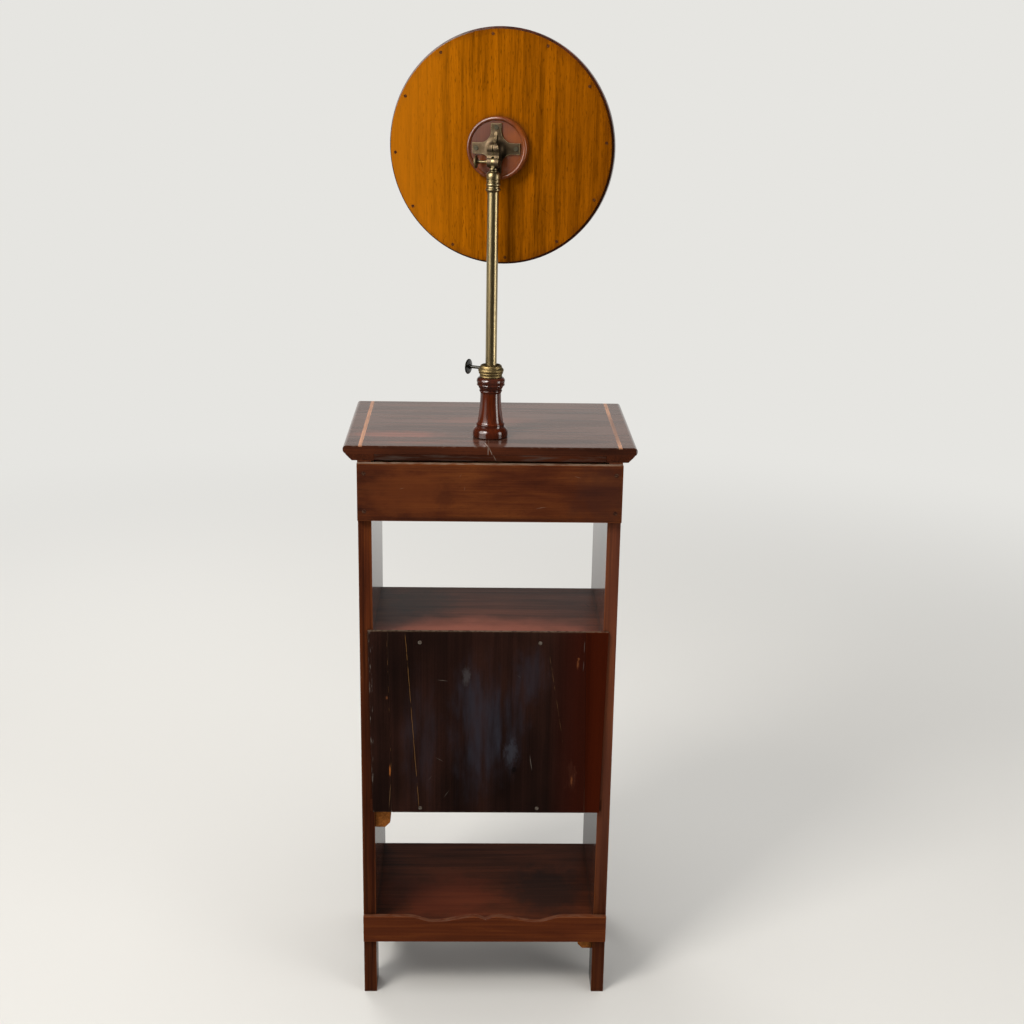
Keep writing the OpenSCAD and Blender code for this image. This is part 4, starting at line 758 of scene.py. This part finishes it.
class SHAVINGSTAND_OT_pole(bpy.types.Operator):
    """Collar, pole, ferrule, tongue and both thumbscrews"""

    bl_idname = "shavingstand.pole"
    bl_label = "Pole"

    def execute(self, context):
        finishes = context.scene.stand_finishes
        brass, tarnish = finishes.brass[:], finishes.tarnish[:]
        # Drawn brass tube: fine lines along it turn each reflection into one long stripe.
        dress_in_brass(["pole", "pole_foot"], "drawn_brass_tube", brass, tarnish, drawn=True, patina=0.4,
            roughness=(0.27, 0.42), lacquer=0.35, seed=61)
        # Turned brass, browner than the tube, most of all on the screw that nobody polishes.
        dress_in_brass(["tilt_screw"], "dull_brass_thumbscrew", shade(brass, 0.6), tarnish, patina=0.7,
            mottle=0.2, roughness=(0.34, 0.46), lacquer=0.2, seed=65)
        dress_in_brass(["ferrule", "tongue"], "turned_brass_ferrule", shade(brass, 0.8), tarnish, patina=0.55,
            mottle=0.2, roughness=(0.3, 0.42), lacquer=0.3, seed=62)
        # Turned brass without lacquer: warm, with a soft sheen on its rings.
        dress_in_brass(["collar"], "turned_brass_collar", linear("#A08A5E"), tarnish, patina=0.65,
            mottle=0.15, roughness=(0.44, 0.54), lacquer=0.0, seed=63)
        # Brass with a dark patina: nearly black, with small clear highlights.
        dress_in_brass(["collar_screw"], "dark_patinated_brass", linear("#2B2A20"), linear("#12120D"),
            patina=0.6, roughness=(0.3, 0.5), seed=64)
        return {"FINISHED"}


def bracket_painted_shade(tree, tone, place):
    """Painted shade on the -X half of the bracket, the half turned away from the key light."""
    low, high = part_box("mirror_bracket")
    middle = (low.x + high.x) / 2 / MM
    across = add(tree, "SeparateXYZ", (place,)).outputs["X"]
    # Painted shade: the -X half is darkened.
    return stain(tree, tone, add(tree, "MapRange", (across, middle + 1, middle - 5)), "#1E170E", 0.65)


class SHAVINGSTAND_OT_bracket(bpy.types.Operator):
    """Cross-shaped bracket and its screws"""

    bl_idname = "shavingstand.bracket"
    bl_label = "Bracket"

    def execute(self, context):
        # Cast brass: a dull olive skin, bright on its rubbed arrises, whose pale colour also paints their
        # thin highlights.
        dress_in_brass(["mirror_bracket"], "cast_brass_bracket", linear("#665644"), linear("#3A3020"),
            patina=0.5, mottle=0.35, roughness=(0.46, 0.6), lacquer=0.0, rubbed=0.38, seed=71,
            marks=bracket_painted_shade)
        dress_in_brass(["bracket_screws"], "dull_brass_screw", linear("#4A4638"), linear("#1A1813"),
            roughness=(0.35, 0.55), seed=72)
        return {"FINISHED"}


def mirror_marks(tree, tone, place):
    """Soiling round the edge of the board, where hands turned the mirror, and painted light and shade across
    it: lighter towards +X, darker towards -X.
    """
    low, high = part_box("mirror_back")
    middle, rim = (low + high) / 2 / MM, (high.z - low.z) / 2 / MM
    away = add(tree, "VectorMath", (place, middle), operation="SUBTRACT")
    reach = add(tree, "VectorMath", (away,), operation="LENGTH").outputs["Value"]
    ragged = stretched(tree, place, 14, 20, detail=4)
    edge = add(tree, "Math", (ragged, 30, reach), operation="MULTIPLY_ADD")
    tone = stain(tree, tone, add(tree, "MapRange", (edge, rim + 6, rim + 22)), "#54270A", 0.6)
    # Painted light and shade: lighter towards +X, where the key light is, and darker towards -X.
    across = add(tree, "SeparateXYZ", (away,)).outputs["X"]
    tone = stain(tree, tone, add(tree, "MapRange", (across, 70, -rim)), "#5E2E02", 0.5)
    tone = stain(tree, tone, add(tree, "MapRange", (across, 30, rim)), "#BC6E10", 0.7)
    return scratches(tree, tone, place, (
        ((88, 1097), (70, 1082)), ((60, 1090), (66, 1079)), ((-60, 1130), (-78, 1118)),
        ((97, 1190), (92, 1172))), 0.6, 1.5, 30, "#4A2406", 0.6)


def roundel_marks(tree, tone, place):
    """One side of the roundel redder, the other more golden."""
    low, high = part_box("roundel")
    x, y, z = (low + high) / 2 / MM
    return spots(tree, tone, place, [
        ((x - 26, y, z + 6), (26, 60, 34), 0.3, 2, "#8E4710", 0.6),
        ((x + 20, y, z + 18), (26, 60, 26), 0.3, 3, "#582E1E", 0.6)])


class SHAVINGSTAND_OT_mirror(bpy.types.Operator):
    """Roundel, back board, frame, nails and glass"""

    bl_idname = "shavingstand.mirror"
    bl_label = "Mirror"

    def execute(self, context):
        finishes = context.scene.stand_finishes
        # Mahogany turned and polished on the lathe: a red disc whose rim carries a thin highlight.
        dress_in_wood(["roundel"], "turned_polished_roundel", figured(linear("#6C3518"), 0.6, 1.4), "Z", 81,
            figure=(14, 120), polish=1.0, haze=0.19, gloss=0.0, ripple=0.0, bump=0.0, marks=roundel_marks)
        # Waxed mahogany: golden and dull, with straight dark pores that run up the board.
        dress_in_wood(["mirror_back"], "waxed_golden_mahogany", figured(finishes.mirror_wood[:], 0.42, 1.5),
            "Z", 82, figure=(8, 300), streak=(1.8, 34), pores=0.6, blotch=0.15, gloss=0.0,
            roughness=(0.5, 0.7), contrast=0.95, flecks=(1.4, 9), marks=mirror_marks)
        # Ebonised mahogany: a dark rim round the golden board, glossy to the front.
        dress_in_wood(["mirror_frame"], "ebonised_mahogany_frame", dark_tones(1.1), "Z", 83, polish=0.8)
        # Rusted iron sunk in the wood: small brown dots.
        dress_in_wood(["mirror_back_nails"], "rusted_nail_head",
            [linear(code) for code in ("#24120A", "#43210C", "#6E4018")], "Z", 84, figure=(1.5, 1.5),
            streak=(1, 1), roughness=(0.4, 0.6))
        # Silvered plate glass: a clear reflection with a few brown specks where the silver has gone.
        dress_in_metal(["mirror_glass"], "silvered_plate_glass", 85, (3, 3, 4),
            [(0.28, linear("#8A8276")), (0.34, finishes.glass[:])], 1.0, 0.015)
        return {"FINISHED"}


# -------- stage

def area_light(name, place, aim, size, power, tone, lights=True, gleams=True):
    """A soft light panel turned to the stand at a height, which lights it, gleams in it, or both."""
    lamp = bpy.data.lights.new(name, "AREA")
    lamp.shape = "RECTANGLE"
    lamp.size, lamp.size_y = size
    lamp.energy = power
    lamp.color = tone
    thing = bpy.data.objects.new(name, lamp)
    thing.location = place
    thing.rotation_euler = (Vector((0, 0, aim)) - Vector(place)).to_track_quat("-Z", "Y").to_euler()
    thing.visible_camera = False
    thing.visible_diffuse = lights
    thing.visible_glossy = gleams
    bpy.context.scene.collection.objects.link(thing)


class SHAVINGSTAND_OT_stage(bpy.types.Operator):
    """Floor, background, lamps and camera"""

    bl_idname = "shavingstand.stage"
    bl_label = "Stage"

    def execute(self, context):
        scene = context.scene
        stage = scene.stand_stage
        self.make_floor(stage)
        self.make_world(scene, stage)
        fill, halo, tall, low = stage.fill_power, stage.gleam * 2, stage.gleam * 0.65, stage.gleam / 9
        area_light("Key", (1.6, 1.7, 2.9), 0.8, (1.0, 1.0), stage.key_power, (1, 0.97, 0.93))
        area_light("Key halo", (1.85, 1.35, 2.0), 1.0, (2.2, 2.0), halo, (1, 0.97, 0.93), lights=False)
        area_light("Fill", (-1.85, 1.5, 1.1), 0.9, (1.1, 2.0), fill, (1, 0.98, 0.96), gleams=False)
        area_light("Tall panel", (-2.2, 0.96, 1.05), 0.9, (0.7, 2.0), tall, (1, 0.98, 0.94), lights=False)
        area_light("Low panel", (1.9, 1.3, 1.2), 1.0, (1.0, 1.4), low, (1, 0.96, 0.9), lights=False)
        area_light("Front", (1.2, -2.2, 1.9), 0.7, (1.3, 1.3), stage.front_power, (1, 1, 1), gleams=False)
        area_light("Overhead", (0, 0.3, 3.0), 0.7, (1.6, 1.6), stage.top_power, (1, 1, 1), gleams=False)
        self.make_camera(scene, stage)
        scene.view_settings.view_transform = "Standard"
        return {"FINISHED"}

    def make_floor(self, stage):
        """A wide disc, pale to the camera, whose far parts fade into the background.

        In the polish it shows darker, most of all behind the stand, so that it lays no grey haze there.
        """
        mesh = bpy.data.meshes.new("floor")
        shape = bmesh.new()
        bmesh.ops.create_circle(shape, cap_ends=True, segments=96, radius=12)
        shape.to_mesh(mesh)
        shape.free()
        floor = bpy.data.objects.new("floor", mesh)
        bpy.context.scene.collection.objects.link(floor)
        # Matt paint: even and pale, with hardly any shine.
        material, tree = new_material("matt_painted_floor")
        seen = add(tree, "LightPath")
        camera, glossy = seen.outputs["Is Camera Ray"], seen.outputs["Is Glossy Ray"]
        place = add(tree, "TexCoord").outputs["Object"]
        depth = add(tree, "SeparateXYZ", (place,)).outputs["Y"]
        rear = add(tree, "MapRange", (depth, 0.1, 0.7))
        dim, dark = (*shade(stage.floor, 0.45), 1), shade(stage.floor, 0.08)
        unlit = stain(tree, dim, times(tree, glossy, rear), dark)
        paint = stain(tree, unlit, camera, stage.floor)
        matt = add(tree, "BsdfPrincipled", {"Base Color": paint, "Roughness": 0.8, "Specular IOR Level": 0.1})
        pale = add(tree, "Emission", {"Color": (*stage.backdrop, 1), "Strength": 1.0})
        reach = add(tree, "VectorMath", (place,), operation="LENGTH").outputs["Value"]
        fade = add(tree, "MapRange", (reach, 0.9, 3.2), interpolation_type="SMOOTHSTEP")
        front = add(tree, "MapRange", (depth, -0.2, -1.0))
        watched = add(tree, "Math", (camera, times(tree, glossy, front)), operation="MAXIMUM")
        shown = add(tree, "MixShader", (times(tree, fade, watched), matt, pale))
        add(tree, "OutputMaterial", {"Surface": shown})
        floor.data.materials.append(material)

    def make_world(self, scene, stage):
        """Pale to the camera and in reflections low down towards the front, dim elsewhere, and even light."""
        world = bpy.data.worlds.new("studio")
        scene.world = world
        world.use_nodes = True
        tree = world.node_tree
        tree.nodes.clear()
        pale = add(tree, "Background", {"Color": (*stage.backdrop, 1), "Strength": 1.0})
        soft = add(tree, "Background", {"Color": (1, 1, 1, 1), "Strength": stage.ambient})
        seen = add(tree, "LightPath").outputs
        glossy = add(tree, "Math", (seen["Is Glossy Ray"], seen["Is Transmission Ray"]), operation="MAXIMUM")
        x, y, z = add(tree, "SeparateXYZ", (add(tree, "TexCoord").outputs["Generated"],)).outputs
        ceiling = add(tree, "MapRange", (z, 0.08, 0.5, 1.0, 0.2))
        room = add(tree, "MapRange", (y, -0.85, 0.1, 1.0, 0.09))
        wings = add(tree, "MapRange", (add(tree, "Math", (x,), operation="ABSOLUTE"), 0.3, 0.7, 1.0, 0.15))
        around = add(tree, "Background", {"Color": (*stage.backdrop, 1),
                                          "Strength": times(tree, ceiling, room, wings)})
        lit = add(tree, "MixShader", (glossy, soft, around))
        shown = add(tree, "MixShader", (seen["Is Camera Ray"], lit, pale))
        add(tree, "OutputWorld", {"Surface": shown})

    def make_camera(self, scene, stage):
        """The camera stands behind the stand and looks down on it."""
        yaw, pitch, roll = stage.camera_yaw, stage.camera_pitch, stage.camera_roll
        aim = Vector((-sin(yaw) * cos(pitch), -cos(yaw) * cos(pitch), -sin(pitch)))
        level = Vector((-cos(yaw), sin(yaw), 0))
        down = aim.cross(level)
        right = level * cos(roll) + down * sin(roll)
        low = down * cos(roll) - level * sin(roll)
        data = bpy.data.cameras.new("camera")
        data.lens = stage.camera_lens
        camera = bpy.data.objects.new("camera", data)
        turn = Matrix((right, -low, -aim)).transposed()
        camera.matrix_world = Matrix.Translation(stage.camera_place) @ turn.to_4x4()
        scene.collection.objects.link(camera)
        scene.camera = camera


# -------- add-on

OPERATORS = (SHAVINGSTAND_OT_carcass, SHAVINGSTAND_OT_top, SHAVINGSTAND_OT_back, SHAVINGSTAND_OT_drawer,
             SHAVINGSTAND_OT_door, SHAVINGSTAND_OT_pillar, SHAVINGSTAND_OT_pole, SHAVINGSTAND_OT_bracket,
             SHAVINGSTAND_OT_mirror, SHAVINGSTAND_OT_stage)
SETTINGS = {"stand_finishes": StandFinishes, "stand_sizes": StandSizes, "stand_stage": StandStage}


class SHAVINGSTAND_PT_panel(bpy.types.Panel):
    """Sizes, colours and buttons of the shaving stand"""

    bl_idname = "SHAVINGSTAND_PT_panel"
    bl_label = "Shaving stand"
    bl_space_type = "VIEW_3D"
    bl_region_type = "UI"
    bl_category = "Shaving stand"

    def draw(self, context):
        for operator in OPERATORS:
            self.layout.operator(operator.bl_idname)
        for name in SETTINGS:
            settings = getattr(context.scene, name)
            for prop in settings.bl_rna.properties:
                if prop.identifier not in ("rna_type", "name"):
                    self.layout.prop(settings, prop.identifier)


def register():
    for cls in (*SETTINGS.values(), *OPERATORS, SHAVINGSTAND_PT_panel):
        bpy.utils.register_class(cls)
    for name, group in SETTINGS.items():
        setattr(bpy.types.Scene, name, PointerProperty(type=group))


def unregister():
    for name in SETTINGS:
        delattr(bpy.types.Scene, name)
    for cls in reversed((*SETTINGS.values(), *OPERATORS, SHAVINGSTAND_PT_panel)):
        bpy.utils.unregister_class(cls)


def main():
    """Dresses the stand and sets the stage."""
    register()
    for operator in OPERATORS:
        group, name = operator.bl_idname.split(".")
        getattr(getattr(bpy.ops, group), name)()


if __name__ == "__main__":
    main()
